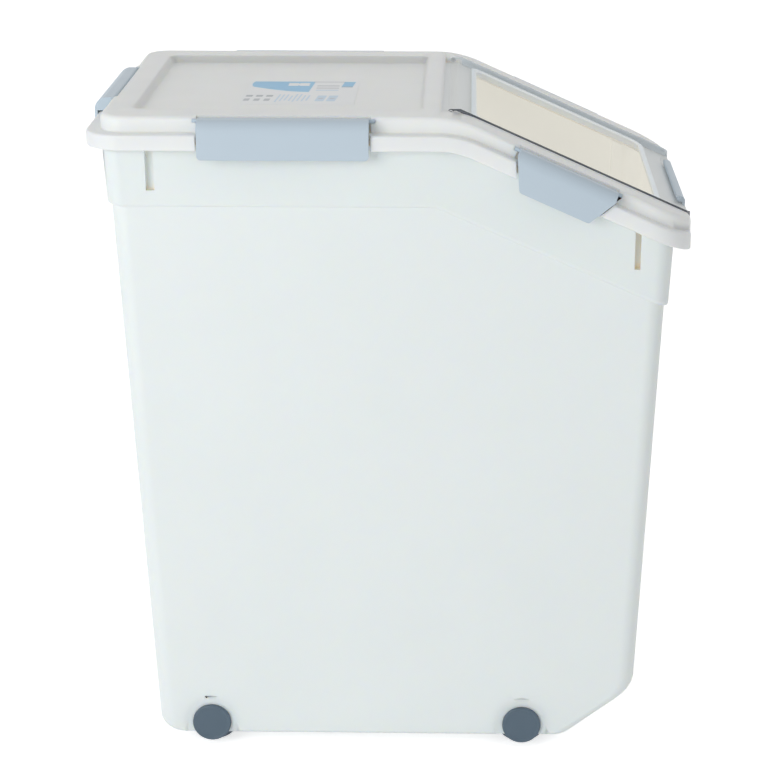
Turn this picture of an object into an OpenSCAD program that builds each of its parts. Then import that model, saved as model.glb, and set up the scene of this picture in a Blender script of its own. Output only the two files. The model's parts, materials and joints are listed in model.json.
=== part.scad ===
// Rice storage bin on wheels: a drafted tub, a lid that bends down to the front, six swing latches
// and a clear flip cover over the scooping mouth. +X is the front, Z is 0 on the floor.

/* [Lid] */
// Length of the lid rim from the rear to the front
rim_len = 459; // [440:1:480]
// Width of the lid rim
rim_w = 304; // [290:1:330]
// Height of the flat top above the floor
top_z = 535.5; // [510:0.5:580]
// Place of the bend, in front of the middle of the lid
bend_x = 50; // [40:1:60]
// Fall of the front part of the lid
slope_a = 24.2; // [20:0.1:27]
// Radius of the bend at the top surface
bend_r = 90; // [84:1:110]
// Wall thickness of the lid
lid_wall = 2.5; // [2:0.1:3]
// Height of the raised platform over the ledge
platform_h = 12.2; // [11:0.1:14]
// Place of the rim's bend, in front of the platform's bend
rim_bend_lead = 5; // [2:0.5:7]
// Width of the ledge at the rear and the sides
ledge_w = 11; // [9:0.5:13]
// How far the platform's front stands proud of the rim
front_proud = 0.3; // [0.2:0.1:0.6]
// Height of the skirt under the ledge
skirt_h = 11.8; // [10:0.1:14]
// Bevel on the skirt's lower edge
skirt_bevel = 0.6; // [0.3:0.1:1.2]
// Corner radius of the rim at the rear
rim_r_rear = 28; // [24:1:36]
// Corner radius of the rim at the front
rim_r_front = 34; // [28:1:38]
// Corner radius of the platform at the rear
platform_r_rear = 19; // [15:1:26]
// Corner radius of the platform at the front
platform_r_front = 32; // [26:1:36]
// Rounding of the platform's top edge
platform_fillet = 4; // [2:0.5:6]
// Rounding of the ledge's outer edge
ledge_fillet = 2; // [1:0.25:2.5]

/* [Top panel] */
// Depth of the recessed panel in the flat top
panel_depth = 5.5; // [3:0.5:6]
// Distance from the rim's rear face to the panel's floor
panel_rear = 37.5; // [36:0.5:60]
// Distance from the bend back to the front edge of the panel's floor
panel_front = 29; // [20:1:40]
// Half width of the panel's floor
panel_half_w = 109; // [90:1:112]
// Run of the sloped walls round the panel
panel_run = 4; // [2.5:0.5:6]
// Corner radius of the panel's floor
panel_r = 3; // [2:0.5:8]

/* [Flip cover] */
// Distance from the bend back to the cover's hinge
hinge_back = 4.5; // [3:0.5:7]
// Radius of the cover's hinge barrel
barrel_r = 2.2; // [2:0.1:2.6]
// Radius of the cover's hinge pins
cover_pin_r = 1.5; // [1.2:0.1:1.7]
// Length of each hinge pin in its hole
cover_pin_len = 3; // [2:0.5:4]
// Half width of the cover
cover_half_w = 110; // [106:1:113]
// Thickness of the cover
cover_t = 2.6; // [2:0.1:3]
// Height of the cover's top over the lid's slope
cover_proud = 1.2; // [0.6:0.1:2]
// Depth of the seat that holds the cover
seat_depth = 4.8; // [4.6:0.1:6]
// Width of the open slot behind the hinge barrel
slot_w = 4.3; // [3.4:0.1:6]
// Clearance between the cover and the sides of its seat
cover_gap = 1.3; // [0.8:0.1:2]
// Rounding of the cover's front corners
cover_corner_r = 6; // [3:0.5:12]

/* [Scooping mouth] */
// Distance from the bend to the rear edge of the mouth
mouth_rear = 14; // [12:1:30]
// Distance from the rim's front face back to the mouth's front edge
mouth_front = 25.5; // [22:0.5:55]
// Half width of the mouth
mouth_half_w = 98; // [80:1:100]
// Corner radius of the mouth
mouth_r = 8; // [4:1:20]
// Width of the raised lip round the mouth
mouth_lip_w = 2; // [1.5:0.1:3]
// Thickness of the seal under the cover
cover_seal_t = 1.2; // [0.8:0.1:1.5]
// Width of the seal under the cover
cover_seal_w = 4; // [3:0.5:5]

/* [Latches] */
// Length of the side, rear and front latches
latch_len = 128; // [110:1:134]
// Rear end of the side latches, behind the middle of the lid
side_latch_rear = 143; // [138:0.5:152]
// Length of the latches on the slope
slope_latch_len = 80.5; // [70:0.5:90]
// Distance up the slope from the rim's front face to a slope latch
slope_latch_front = 63; // [57:0.5:71]
// Inset of a slope latch's lower corners
slope_latch_taper = 10.5; // [0:0.5:14]
// Shortening of the slope latches against the side latches
slope_latch_rise = 0.5; // [0:0.1:3]
// Wall thickness of a latch
latch_t = 2.2; // [1.8:0.1:2.6]
// Depth of a latch's hinge axis below the lid's top
latch_axis_d = 3.2; // [3:0.1:3.8]
// Distance from the hinge axis out to the rim face
latch_reach = 11; // [10:0.5:12]
// The same distance for the narrower front latch
front_reach = 5; // [4.5:0.5:6]
// Depth of the front latch's plate inside the rim face
front_sunk = 2.3; // [2.1:0.1:2.6]
// Stand-off of a latch's plate from the rim face
latch_standoff = 1; // [0.6:0.1:2]
// Radius of the curved top of a latch
latch_curve_r = 9.5; // [8:0.5:11]
// Radius of the curved top of the front latch
front_curve_r = 3.8; // [3:0.1:4.2]
// Overhang of a latch's plate below the skirt
latch_drop = 6.3; // [4:0.1:9]
// Rounding of a latch's lower corners
latch_corner_r = 3; // [1:0.5:5]
// Radius of a latch's hinge barrel
latch_barrel_r = 2; // [1.8:0.1:2.3]
// Radius of a latch's hinge pins
latch_pin_r = 1.4; // [1.2:0.1:1.5]
// Length of a latch's hinge pin in its hole
latch_pin_len = 3; // [2:0.5:4]
// Gap at each end of a latch
latch_gap = 1.2; // [0.8:0.1:2.5]
// Height of the hook nib inside a latch
nib_h = 2.5; // [1.5:0.1:3]

/* [Tub] */
// Inset of the side walls' top from the rim
wall_side_inset = 11.7; // [10:0.1:14]
// Inset of the rear wall's top from the rim
wall_rear_inset = 15; // [13:0.5:20]
// Inset of the front wall's top from the rim
wall_front_inset = 13.5; // [12:0.5:17]
// Draft of the walls, per unit of height
wall_draft = 0.041; // [0.02:0.001:0.05]
// Corner radius of the tub's wall
wall_r = 14; // [12:1:24]
// Thickness of the tub's wall
wall_t = 2.6; // [2.2:0.1:3.2]
// Height of the tub's underside above the floor
floor_clear = 12.5; // [10:0.5:16]
// Radius under the rear end
rear_bottom_r = 13; // [10:1:18]
// Rounding under the long sides
side_bottom_r = 4; // [3:0.5:8]
// Height of the slanted foot of the front wall
chamfer_h = 42; // [34:1:50]
// Length of the slanted foot of the front wall
chamfer_len = 52; // [44:1:56]
// Height over which the slanted foot runs into the front wall, up and down from its corner
chamfer_blend = 10; // [4:1:14]
// Depth of the upper band's step below the lid's top
band_depth = 70; // [60:0.5:74]
// Height of the band's step at the ends
band_step_end = 3; // [2:0.1:4]
// Height of the band's step at the sides
band_step_side = 1.6; // [1:0.1:2]
// Rounding under the band
band_round = 3; // [2:0.5:4]
// Flare of the band towards the flange at the ends
band_flare_end = 0.2; // [0:0.1:2]
// Flare of the band towards the flange at the sides
band_flare_side = 0.4; // [0:0.1:1]
// Thickness of the rim flange
flange_t = 3.5; // [3:0.1:4.5]
// Clearance between the flange and the lid's skirt
flange_gap = 0.8; // [0.5:0.1:1.2]
// Width of the upright grooves near the rear
groove_w = 6.5; // [5:0.5:8]
// Width of the upright grooves near the front
groove_w_front = 4.5; // [4:0.5:8]
// Height of the upright grooves near the rear
groove_h_rear = 33; // [25:1:40]
// Height of the upright grooves near the front
groove_h_front = 31.5; // [22:0.5:36]
// Depth of the upright grooves
groove_depth = 5; // [3:0.5:7]
// Distance of the rear groove from the wall's rear end
groove_rear = 34; // [28:1:50]
// Distance of the front groove from the wall's front end
groove_front = 28; // [24:1:50]

/* [Lid seal] */
// Thickness of the seal between lid and tub
seal_t = 2; // [1.5:0.1:3]
// Width of the seal between lid and tub
seal_w = 4; // [3:0.1:5]
// Distance of the seal from the flange's edge
seal_inset = 1.2; // [0.8:0.1:2]

/* [Wheels] */
// Radius of the wheels
wheel_r = 22; // [20:0.5:23]
// Width of the wheels
wheel_w = 14; // [10:0.5:18]
// Bevel on the wheels' tread
wheel_bevel = 1.5; // [0.5:0.1:2]
// Radius of the wheels' hubs
hub_r = 9.2; // [7.5:0.1:11]
// Inner radius of the wheels' rims
rim_in_r = 18; // [15:0.5:18]
// Depth of the wheels' webs below their faces
web_depth = 4.2; // [2:0.1:4.4]
// Distance of the rear axles from the rim's rear face
rear_axle_inset = 79; // [72:0.5:90]
// Distance of the front axles from the rim's front face
front_axle_inset = 124; // [118:0.5:136]
// Radius of the steel axles
axle_r = 4; // [3:0.1:5]
// Depth of an axle's blind seat beyond its wheel
axle_seat = 5; // [3:0.5:8]
// Running clearance of a wheel on its axle
wheel_fit = 0.08; // [0.02:0.01:0.1]
// Clearance beside and around a wheel
wheel_gap = 1.2; // [1:0.1:2]
// Radius of the hub caps
cap_r = 15.8; // [14:0.1:17]
// Thickness of the hub caps
cap_t = 3.2; // [2.8:0.1:4]
// Rounding of the hub caps' outer edge
cap_edge_r = 1; // [0.5:0.1:1.8]
// Radius of the arches round the hub caps
arch_r = 24; // [21:0.5:26]
// Depth of the arches from the wall's foot
arch_depth = 3; // [2:0.1:5]
// Run of the arches' slanted walls
arch_run = 4; // [2:0.5:6]
// Thickness of the wall between an arch and its wheel
wheel_set = 9.6; // [6:0.1:12]

/* [Hidden] */

NEAR = -1;
FAR = 1;
$fn = 48;
corner_steps = 10;
bend_steps = 8;
past = 20;

// Round pins turn in their holes with this much radial clearance
pin_fit = 0.08;
// Clearance left under and beside pieces that only rest near each other
rest_gap = 0.3;
// Clearance over and under the seal between lid and tub
seal_fit = 0.02;
// How far a cutting shape runs past the face that it opens
overlap = 1;

rim_x = rim_len / 2;
rim_y = rim_w / 2;
skirt_bottom = platform_h + skirt_h;
ledge_under = platform_h + lid_wall;
bend_cx = bend_x - bend_r * tan(slope_a / 2);
bend_cz = top_z - bend_r;

tub_top = ledge_under + seal_t;
flange_bottom = tub_top + flange_t;
flange_inset = lid_wall + flange_gap;

// How much nearer the rim lies to the platform's top on the slope than on the flat
rim_rise = rim_bend_lead * sin(slope_a);

// Height of the surface that runs at depth d under the bent top, its bend set forward by lead
function bent_z(x, d, lead) =
    let (r = bend_r - d, x_bend = bend_cx + lead, x_end = x_bend + r * sin(slope_a))
    x <= x_bend ? bend_cz + r
    : x < x_end ? bend_cz + sqrt(r * r - pow(x - x_bend, 2))
    : bend_cz + r * cos(slope_a) - (x - x_end) * tan(slope_a);

// Bend and height of the flat plates at depth d, which have a sharp bend
function mitre_x(d) = bend_x - d * tan(slope_a / 2);
function mitred_z(x, d) = top_z - d - max(0, x - mitre_x(d)) * tan(slope_a);

// An outline is [rear x, front x, half width, rear radius, front radius]
function grow(o, by) = [o[0] - by, o[1] + by, o[2] + by, o[3] + by, o[4] + by];

RIM = [-rim_x, rim_x, rim_y, rim_r_rear, rim_r_front];
PLATFORM = [-rim_x + ledge_w, rim_x + front_proud, rim_y - ledge_w, platform_r_rear, platform_r_front];

// Wall of the tub at height z, moved out by ex at the ends and ey at the sides
function wall_at(z, ex, ey) =
    let (fall = (top_z - tub_top - z) * wall_draft)
    [-rim_x + wall_rear_inset + fall - ex, rim_x - wall_front_inset - fall + ex,
     rim_y - wall_side_inset - fall + ey, wall_r, wall_r];

// How far a quarter round of radius r at the bottom draws the wall in at height h
function round_in(h, r) = h >= r ? 0 : r - sqrt(r * r - pow(r - h, 2));

// Height d under a corner as a rounded foot sees it: 0 above the blend, d itself below it
function drop_in(d, blend) = d <= -blend ? 0 : d >= blend ? d : pow(d + blend, 2) / (4 * blend);

// Wall of the tub's lower part, drawn in at its foot; t is the distance in from the outer skin
function foot_at(z, t) =
    let (h = z - floor_clear - t, w = wall_at(z, -t, -t), rear_r = rear_bottom_r - t)
    [w[0] + round_in(h, rear_r), w[1] - chamfer_len / chamfer_h * drop_in(chamfer_h - h, chamfer_blend),
     w[2] - round_in(h, side_bottom_r), w[3] - t, w[4] - t];

// A ring is [bent, height or depth, outline as a function of height, lead of its bend]
function level(z, outline) = [false, z, outline, 0];
function bent(d, outline, lead = 0) = [true, d, outline, lead];
function ring_z(ring, x) = ring[0] ? bent_z(x, ring[1], ring[3]) : ring[1];

function side_stations(ring) =
    let (r = bend_r - (ring[0] ? ring[1] : 0))
    [for (i = [0 : bend_steps]) bend_cx + ring[3] + r * sin(slope_a * i / bend_steps)];

function rear_point(o, a) = [o[0] + o[3] * (1 - cos(a)), -o[2] + o[3] * (1 - sin(a))];
function front_point(o, a) = [o[1] - o[4] * (1 - sin(a)), -o[2] + o[4] * (1 - cos(a))];

// Corner point of a ring, found on the outline at its own height
function settled(ring, corner, a, z, turns) =
    let (p = corner(ring[2](z), a), z_next = ring_z(ring, p[0]))
    turns == 0 ? [p[0], p[1], z] : settled(ring, corner, a, z_next, turns - 1);

function ring_half(ring) =
    let (z = ring_z(ring, 0))
    concat(
        [for (i = [0 : corner_steps])
            settled(ring, function(o, a) rear_point(o, a), 90 * i / corner_steps, z, 6)],
        [for (x = side_stations(ring)) let (z_at = ring_z(ring, x)) [x, -ring[2](z_at)[2], z_at]],
        [for (i = [0 : corner_steps])
            settled(ring, function(o, a) front_point(o, a), 90 * i / corner_steps, z, 6)]);

function ring_points(ring) =
    let (near = ring_half(ring), last = len(near) - 1)
    concat(near, [for (i = [last : -1 : 0]) [near[i][0], -near[i][1], near[i][2]]]);

// Closed solid through a stack of rings, given from the bottom up
module loft(rings) {
    count = 2 * (2 * (corner_steps + 1) + bend_steps + 1);
    half = count / 2;
    top = len(rings) - 1;
    points = [for (ring = rings) each ring_points(ring)];
    sides = [for (k = [0 : top - 1], j = [0 : count - 1])
        let (n = (j + 1) % count, lower = k * count, upper = lower + count)
        each [[lower + j, upper + j, upper + n], [lower + j, upper + n, lower + n]]];
    bottom_cap = [for (i = [0 : half - 2])
        [i, i + 1, count - 2 - i, count - 1 - i]];
    top_cap = [for (i = [0 : half - 2])
        [for (v = [count - 1 - i, count - 2 - i, i + 1, i]) top * count + v]];
    polyhedron(points = points, faces = concat(sides, bottom_cap, top_cap), convexity = 6);
}

function fixed(o) = function(z) o;

// Rings of a quarter round between an upright wall and the surface at depth d
function fillet_rings(o, d, r, steps, lead) =
    [for (i = [0 : steps]) let (a = 90 * i / steps)
        bent(d + r * (1 - sin(a)), fixed(grow(o, -r * (1 - cos(a)))), lead)];

// Upright prism over a rounded rectangle from x0 to x1, hw to each side
module upright(x0, x1, hw, r) {
    translate([0, 0, -past])
        linear_extrude(top_z + 2 * past)
            hull_free_rect(x0, x1, hw, r);
}

module hull_free_rect(x0, x1, hw, r) {
    translate([x0 + r, -hw]) square([x1 - x0 - 2 * r, 2 * hw]);
    translate([x0, -hw + r]) square([x1 - x0, 2 * hw - 2 * r]);
    for (x = [x0 + r, x1 - r], y = [-hw + r, hw - r]) translate([x, y]) circle(r);
}

// Prism across the lid over a side view given as [x, z] points
module across(half_w, points) {
    rotate([90, 0, 0])
        translate([0, 0, -half_w])
            linear_extrude(2 * half_w)
                polygon(points);
}

// Side view of a plate from depth d0 down to depth d1, with a sharp bend
function seat_band(x0, x1, d0, d1) = [
    [x0, top_z - d0], [mitre_x(d0), top_z - d0], [x1, mitred_z(x1, d0)],
    [x1, mitred_z(x1, d1)], [mitre_x(d1), top_z - d1], [x0, top_z - d1]];

// Frame on the slope: x runs down the slope from the bend's end, z is square to it, 0 at the top surface
module on_slope() {
    translate([bend_cx + bend_r * sin(slope_a), 0, bend_cz + bend_r * cos(slope_a)])
        rotate([0, slope_a, 0])
            children();
}

// Places of the latches: x along the hinge, y out from it, z up; the hinge axis is at the origin
module at_side_latch(side) {
    translate([-side_latch_rear, side * (rim_y - latch_reach), top_z - latch_axis_d])
        mirror([0, side < 0 ? 1 : 0, 0])
            children();
}

slope_latch_start = (rim_x - bend_cx - bend_r * sin(slope_a)) / cos(slope_a)
    - slope_latch_front - slope_latch_len;

module at_slope_latch(side) {
    on_slope()
        translate([slope_latch_start, side * (rim_y - latch_reach), -latch_axis_d])
            mirror([0, side < 0 ? 1 : 0, 0])
                children();
}

module at_rear_latch() {
    translate([-rim_x + latch_reach, -latch_len / 2, top_z - latch_axis_d])
        rotate([0, 0, 90])
            children();
}

// The front latch hinges in the flip cover's front edge
front_axis_x = rim_x - front_reach;
front_axis_z = mitred_z(front_axis_x, cover_t / 2 - cover_proud + latch_pin_r);
front_plate_x = rim_x - flange_inset;

module at_front_latch() {
    translate([front_axis_x, latch_len / 2, front_axis_z])
        rotate([0, 0, -90])
            children();
}

// Depths below a latch's hinge axis: top of its nib, under the flange, and foot of its plate
nib_clear = 0.5;
latch_nib_d = flange_bottom - latch_axis_d + nib_clear;
latch_plate_d = skirt_bottom - latch_axis_d + latch_drop;
slope_nib_d = latch_nib_d - rim_rise;
slope_plate_d = latch_plate_d - slope_latch_rise;
front_nib_d = front_axis_z - bent_z(front_plate_x, flange_bottom, rim_bend_lead) + nib_clear;
front_plate_d = front_nib_d + nib_h + nib_clear;

// Cross-section of a latch, [out, up] from its hinge axis
module latch_section(reach, standoff, curve_r, nib_d, plate_d) {
    outer = reach + standoff + latch_t;
    curve = [outer - curve_r, latch_barrel_r - curve_r];
    circle(latch_barrel_r);
    translate([0, latch_barrel_r - latch_t]) square([curve[0], latch_t]);
    intersection() {
        translate(curve) difference() {
            circle(curve_r);
            circle(curve_r - latch_t);
        }
        translate(curve) square(curve_r);
    }
    translate([outer - latch_t, -plate_d]) square([latch_t, plate_d + curve[1]]);
    translate([reach - flange_inset + rest_gap, -nib_d - nib_h])
        square([flange_inset - rest_gap + standoff + latch_t / 2, nib_h]);
}

// End wall that closes a latch's curved top above the ledge
module latch_end(reach, standoff, curve_r, depth) {
    outer = reach + standoff + latch_t;
    curve = [outer - curve_r, latch_barrel_r - curve_r];
    circle(latch_barrel_r);
    intersection() {
        union() {
            translate([0, -depth]) square([curve[0], depth + latch_barrel_r]);
            if (depth > -curve[1]) translate([0, -depth]) square([outer, depth + curve[1]]);
            translate(curve) circle(curve_r);
        }
        translate([0, -depth]) square([outer, depth + latch_barrel_r]);
    }
}

// Front view of a latch, [along, up]: square at the hinge, drawn in towards the lower edge
module latch_face(length, taper, plate_d, more, corner_r) {
    bevel_top = -latch_barrel_r - latch_t;
    low = -plate_d - more;
    hull() {
        translate([-more, bevel_top]) square([length + 2 * more, past]);
        for (x = [taper + corner_r - more, length - taper - corner_r + more])
            translate([x, low + corner_r]) circle(corner_r, $fn = 32);
    }
}

// Turns a 2D shape drawn as [out, up] into a bar along x
module along_hinge(length) {
    rotate([90, 0, 90])
        linear_extrude(length)
            children();
}

module latch(length, taper, reach, standoff, curve_r, nib_d, plate_d, end_d) {
    intersection() {
        union() {
            along_hinge(length) latch_section(reach, standoff, curve_r, nib_d, plate_d);
            along_hinge(latch_t) latch_end(reach, standoff, curve_r, end_d);
            translate([length - latch_t, 0, 0])
                along_hinge(latch_t) latch_end(reach, standoff, curve_r, end_d);
        }
        translate([0, past + reach, 0])
            rotate([90, 0, 0])
                linear_extrude(2 * past + reach)
                    latch_face(length, taper, plate_d, 0, latch_corner_r);
    }
    translate([-latch_gap - latch_pin_len, 0, 0])
        rotate([0, 90, 0])
            cylinder(h = length + 2 * (latch_gap + latch_pin_len), r = latch_pin_r);
}

// Space that a latch needs in the lid: its pocket in the platform and a cut in the skirt
module latch_pocket(length, taper, plate_d, rise) {
    back = latch_barrel_r + latch_t;
    translate([-latch_gap, -back, latch_axis_d - platform_h + rise])
        cube([length + 2 * latch_gap, back + latch_reach + past, platform_h + past]);
    translate([0, latch_reach - lid_wall - rest_gap / 3, 0])
        rotate([90, 0, 0])
            mirror([0, 0, 1])
                linear_extrude(past)
                    latch_face(length, taper, plate_d, latch_gap, latch_corner_r);
}

module latch_pin_holes(length) {
    reach_in = latch_gap + latch_pin_len + rest_gap;
    translate([-reach_in, 0, 0])
        rotate([0, 90, 0])
            cylinder(h = length + 2 * reach_in, r = latch_pin_r + pin_fit);
}

// Walls that close a latch's pocket inside the lid
module latch_pocket_wall(length, rise) {
    back = latch_barrel_r + latch_t + lid_wall;
    ends = latch_gap + latch_pin_len + lid_wall;
    translate([-ends, -back, latch_axis_d - ledge_under + rise])
        cube([length + 2 * ends, back + latch_reach - lid_wall / 2, ledge_under + past]);
}

module each_lid_latch_pocket_wall() {
    for (side = [NEAR, FAR]) {
        at_side_latch(side) latch_pocket_wall(latch_len, 0);
        at_slope_latch(side) latch_pocket_wall(slope_latch_len, rim_rise);
    }
    at_rear_latch() latch_pocket_wall(latch_len, 0);
}

module each_lid_latch_cut() {
    for (side = [NEAR, FAR]) {
        at_side_latch(side) {
            latch_pocket(latch_len, 0, latch_plate_d, 0);
            latch_pin_holes(latch_len);
        }
        at_slope_latch(side) {
            latch_pocket(slope_latch_len, slope_latch_taper, slope_plate_d, rim_rise);
            latch_pin_holes(slope_latch_len);
        }
    }
    at_rear_latch() {
        latch_pocket(latch_len, 0, latch_plate_d, 0);
        latch_pin_holes(latch_len);
    }
    at_front_latch() front_skirt_cut();
}

// The front latch reaches the flange through this cut in the skirt
module front_skirt_cut() {
    low = front_plate_d + past;
    translate([-latch_gap, front_reach - lid_wall - rest_gap / 3, -low])
        cube([latch_len + 2 * latch_gap, past, low + mitred_z(rim_x, 0) - front_axis_z]);
}

// Wall behind the front latch, from the cover's seat down to the ledge's underside
module front_latch_wall() {
    x0 = rim_x - 2 * lid_wall - rest_gap;
    low = ledge_under - rim_rise - rest_gap;
    across(latch_len / 2 + latch_gap + lid_wall,
           [[x0, mitred_z(x0, seat_depth)], [rim_x, mitred_z(rim_x, seat_depth)],
            [rim_x, mitred_z(rim_x, low)], [x0, mitred_z(x0, low)]]);
}

// Outer skin of the lid: a bent rim with a bent platform on it
module lid_skin() {
    loft(concat(
        [bent(skirt_bottom, fixed(grow(RIM, -skirt_bevel)), rim_bend_lead),
         bent(skirt_bottom - skirt_bevel, fixed(RIM), rim_bend_lead)],
        fillet_rings(RIM, platform_h, ledge_fillet, 3, rim_bend_lead)));
    loft(concat(
        [bent(ledge_under - rest_gap, fixed(PLATFORM), rim_bend_lead)],
        fillet_rings(PLATFORM, 0, platform_fillet, 4, 0)));
}

module lid_hollow() {
    loft([bent(skirt_bottom + past, fixed(grow(RIM, -lid_wall)), rim_bend_lead),
          bent(ledge_under, fixed(grow(RIM, -lid_wall)), rim_bend_lead)]);
    loft([bent(ledge_under + overlap, fixed(grow(PLATFORM, -lid_wall)), rim_bend_lead),
          bent(platform_fillet, fixed(grow(PLATFORM, -lid_wall))),
          bent(lid_wall, fixed(grow(PLATFORM, -platform_fillet - overlap)))]);
}

seat_rear = bend_x - hinge_back - barrel_r - slot_w;
seat_half_w = cover_half_w + cover_gap;
hinge_x = bend_x - hinge_back;
hinge_z = top_z - barrel_r;
mouth_x0 = bend_x + mouth_rear;
mouth_x1 = rim_x - mouth_front;
mouth_lip_top = cover_t - cover_proud + cover_seal_t;

// Seat of the flip cover, kept solid under the lid's top
module seat_wall() {
    across(seat_half_w + lid_wall,
           seat_band(seat_rear - lid_wall, rim_x + past, -past, seat_depth + lid_wall));
    boss_w = cover_gap + cover_pin_len + lid_wall;
    for (side = [NEAR, FAR])
        translate([seat_rear, side * (cover_half_w + boss_w / 2) - boss_w / 2, hinge_z - barrel_r - lid_wall])
            cube([2 * (hinge_x - seat_rear), boss_w, past]);
}

module seat_space() {
    across(seat_half_w, seat_band(seat_rear, rim_x + past, -past, seat_depth));
}

module cover_pin_holes() {
    hole_len = cover_half_w + cover_gap + cover_pin_len + rest_gap;
    translate([hinge_x, -hole_len, hinge_z])
        rotate([-90, 0, 0])
            cylinder(h = 2 * hole_len, r = cover_pin_r + pin_fit);
}

module mouth_lip() {
    intersection() {
        upright(mouth_x0 - mouth_lip_w, mouth_x1 + mouth_lip_w, mouth_half_w + mouth_lip_w,
                mouth_r + mouth_lip_w);
        across(rim_y, seat_band(bend_x, rim_x, mouth_lip_top, seat_depth + lid_wall));
    }
}

// Recess in the flat top, with sloped walls on all four sides
module panel_recess() {
    x0 = -rim_x + panel_rear;
    x1 = bend_x - panel_front;
    rise = panel_depth + overlap;
    run = panel_run * rise / panel_depth;
    hull() {
        translate([0, 0, top_z - panel_depth])
            linear_extrude(0.01) hull_free_rect(x0, x1, panel_half_w, panel_r, $fn = 24);
        translate([0, 0, top_z + overlap])
            linear_extrude(0.01)
                hull_free_rect(x0 - run, x1 + run, panel_half_w + run, panel_r + run, $fn = 24);
    }
}

module panel_floor() {
    margin = panel_run + lid_wall;
    translate([-rim_x + panel_rear - margin, -panel_half_w - margin, top_z - panel_depth - lid_wall])
        cube([rim_x - panel_rear + bend_x - panel_front + 2 * margin, 2 * (panel_half_w + margin), past]);
}

module main_lid() {
    color("#e6ecec")
        difference() {
            union() {
                difference() {
                    lid_skin();
                    difference() {
                        lid_hollow();
                        each_lid_latch_pocket_wall();
                        seat_wall();
                        front_latch_wall();
                        panel_floor();
                    }
                    seat_space();
                }
                mouth_lip();
            }
            upright(mouth_x0, mouth_x1, mouth_half_w, mouth_r);
            panel_recess();
            cover_pin_holes();
            each_lid_latch_cut();
        }
}

module lid_seal() {
    outer = grow(RIM, -flange_inset - seal_inset);
    inner = grow(outer, -seal_w);
    color("#c9d2d6")
        difference() {
            loft([bent(tub_top - seal_fit, fixed(outer), rim_bend_lead),
                  bent(ledge_under + seal_fit, fixed(outer), rim_bend_lead)]);
            loft([bent(tub_top + overlap, fixed(inner), rim_bend_lead),
                  bent(ledge_under - overlap, fixed(inner), rim_bend_lead)]);
        }
}

// The clear flip cover: a bent plate with a turned-down lip, hinged at its rear edge
module flip_cover() {
    under = cover_t - cover_proud;
    lip_low = seat_depth - rest_gap;
    x_front = rim_x + rest_gap;
    notch_half = latch_len / 2 + latch_gap;
    boss_w = latch_pin_len + lid_wall;
    color("#cfe0ea", 0.45)
        difference() {
            union() {
                intersection() {
                    union() {
                        across(cover_half_w, cover_plate(x_front, under));
                        difference() {
                            across(cover_half_w, cover_plate(x_front, lip_low));
                            across(cover_half_w - latch_t, cover_plate(x_front - latch_t, lip_low + past));
                        }
                        for (side = [NEAR, FAR])
                            translate([0, side * (notch_half + boss_w / 2), 0])
                                front_boss(boss_w / 2, lip_low);
                    }
                    upright(-rim_x, x_front, cover_half_w, cover_corner_r);
                }
                translate([hinge_x, -cover_half_w, hinge_z])
                    rotate([-90, 0, 0])
                        cylinder(h = 2 * cover_half_w, r = barrel_r);
                translate([hinge_x, -cover_half_w - cover_gap - cover_pin_len, hinge_z])
                    rotate([-90, 0, 0])
                        cylinder(h = 2 * (cover_half_w + cover_gap + cover_pin_len), r = cover_pin_r);
            }
            translate([front_axis_x - latch_barrel_r - latch_t, -notch_half, 0])
                cube([past, 2 * notch_half, top_z + past]);
            at_front_latch() latch_pin_holes(latch_len);
        }
}

// Side view of the cover down to depth d, from the hinge to the front edge at x1
function cover_plate(x1, d) =
    let (x_low = mitre_x(d))
    d <= barrel_r
    ? [[hinge_x, top_z], [x_flat(), top_z], [x1, mitred_z(x1, -cover_proud)],
       [x1, mitred_z(x1, d)], [x_low, top_z - d], [hinge_x, top_z - d]]
    : [[x_flat(), top_z], [x1, mitred_z(x1, -cover_proud)], [x1, mitred_z(x1, d)],
       [x_flat(), mitred_z(x_flat(), d)]];

// Where the cover's flat strip meets its slope
function x_flat() = bend_x + cover_proud / sin(slope_a);

module front_boss(half_w, low) {
    x0 = front_axis_x - latch_barrel_r - latch_t;
    across(half_w, [[x0, mitred_z(x0, -cover_proud)], [rim_x, mitred_z(rim_x, -cover_proud)],
                    [rim_x, mitred_z(rim_x, low)], [x0, mitred_z(x0, low)]]);
}

module cover_seal() {
    under = cover_t - cover_proud;
    over = cover_seal_w - mouth_lip_w;
    color("#b9c6cf")
        difference() {
            intersection() {
                upright(mouth_x0 - cover_seal_w + over / 2, mouth_x1 + cover_seal_w - over / 2,
                        mouth_half_w + cover_seal_w - over / 2, mouth_r + cover_seal_w - over / 2);
                across(rim_y, seat_band(bend_x, rim_x, under, mouth_lip_top));
            }
            upright(mouth_x0 + over / 2, mouth_x1 - over / 2, mouth_half_w - over / 2, mouth_r);
        }
}

latch_end_d = platform_h - latch_axis_d - rest_gap * 2;
front_end_d = seat_depth + cover_proud - cover_t / 2 - latch_pin_r - rest_gap * 2;

module side_latch_near() {
    color("#b3c3d2") at_side_latch(NEAR) side_latch();
}

module side_latch_far() {
    color("#b3c3d2") at_side_latch(FAR) side_latch();
}

module side_latch() {
    latch(latch_len, 0, latch_reach, latch_standoff, latch_curve_r, latch_nib_d, latch_plate_d, latch_end_d);
}

module slope_latch() {
    latch(slope_latch_len, slope_latch_taper, latch_reach, latch_standoff, latch_curve_r,
          slope_nib_d, slope_plate_d, latch_end_d - rim_rise);
}

module slope_latch_near() {
    color("#b3c3d2") at_slope_latch(NEAR) slope_latch();
}

module slope_latch_far() {
    color("#b3c3d2") at_slope_latch(FAR) slope_latch();
}

module rear_latch() {
    color("#b3c3d2") at_rear_latch() side_latch();
}

module front_latch() {
    color("#9fb2c4")
        at_front_latch()
            latch(latch_len, 0, front_reach, -front_sunk, front_curve_r,
                  front_nib_d, front_plate_d, front_end_d);
}

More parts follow.
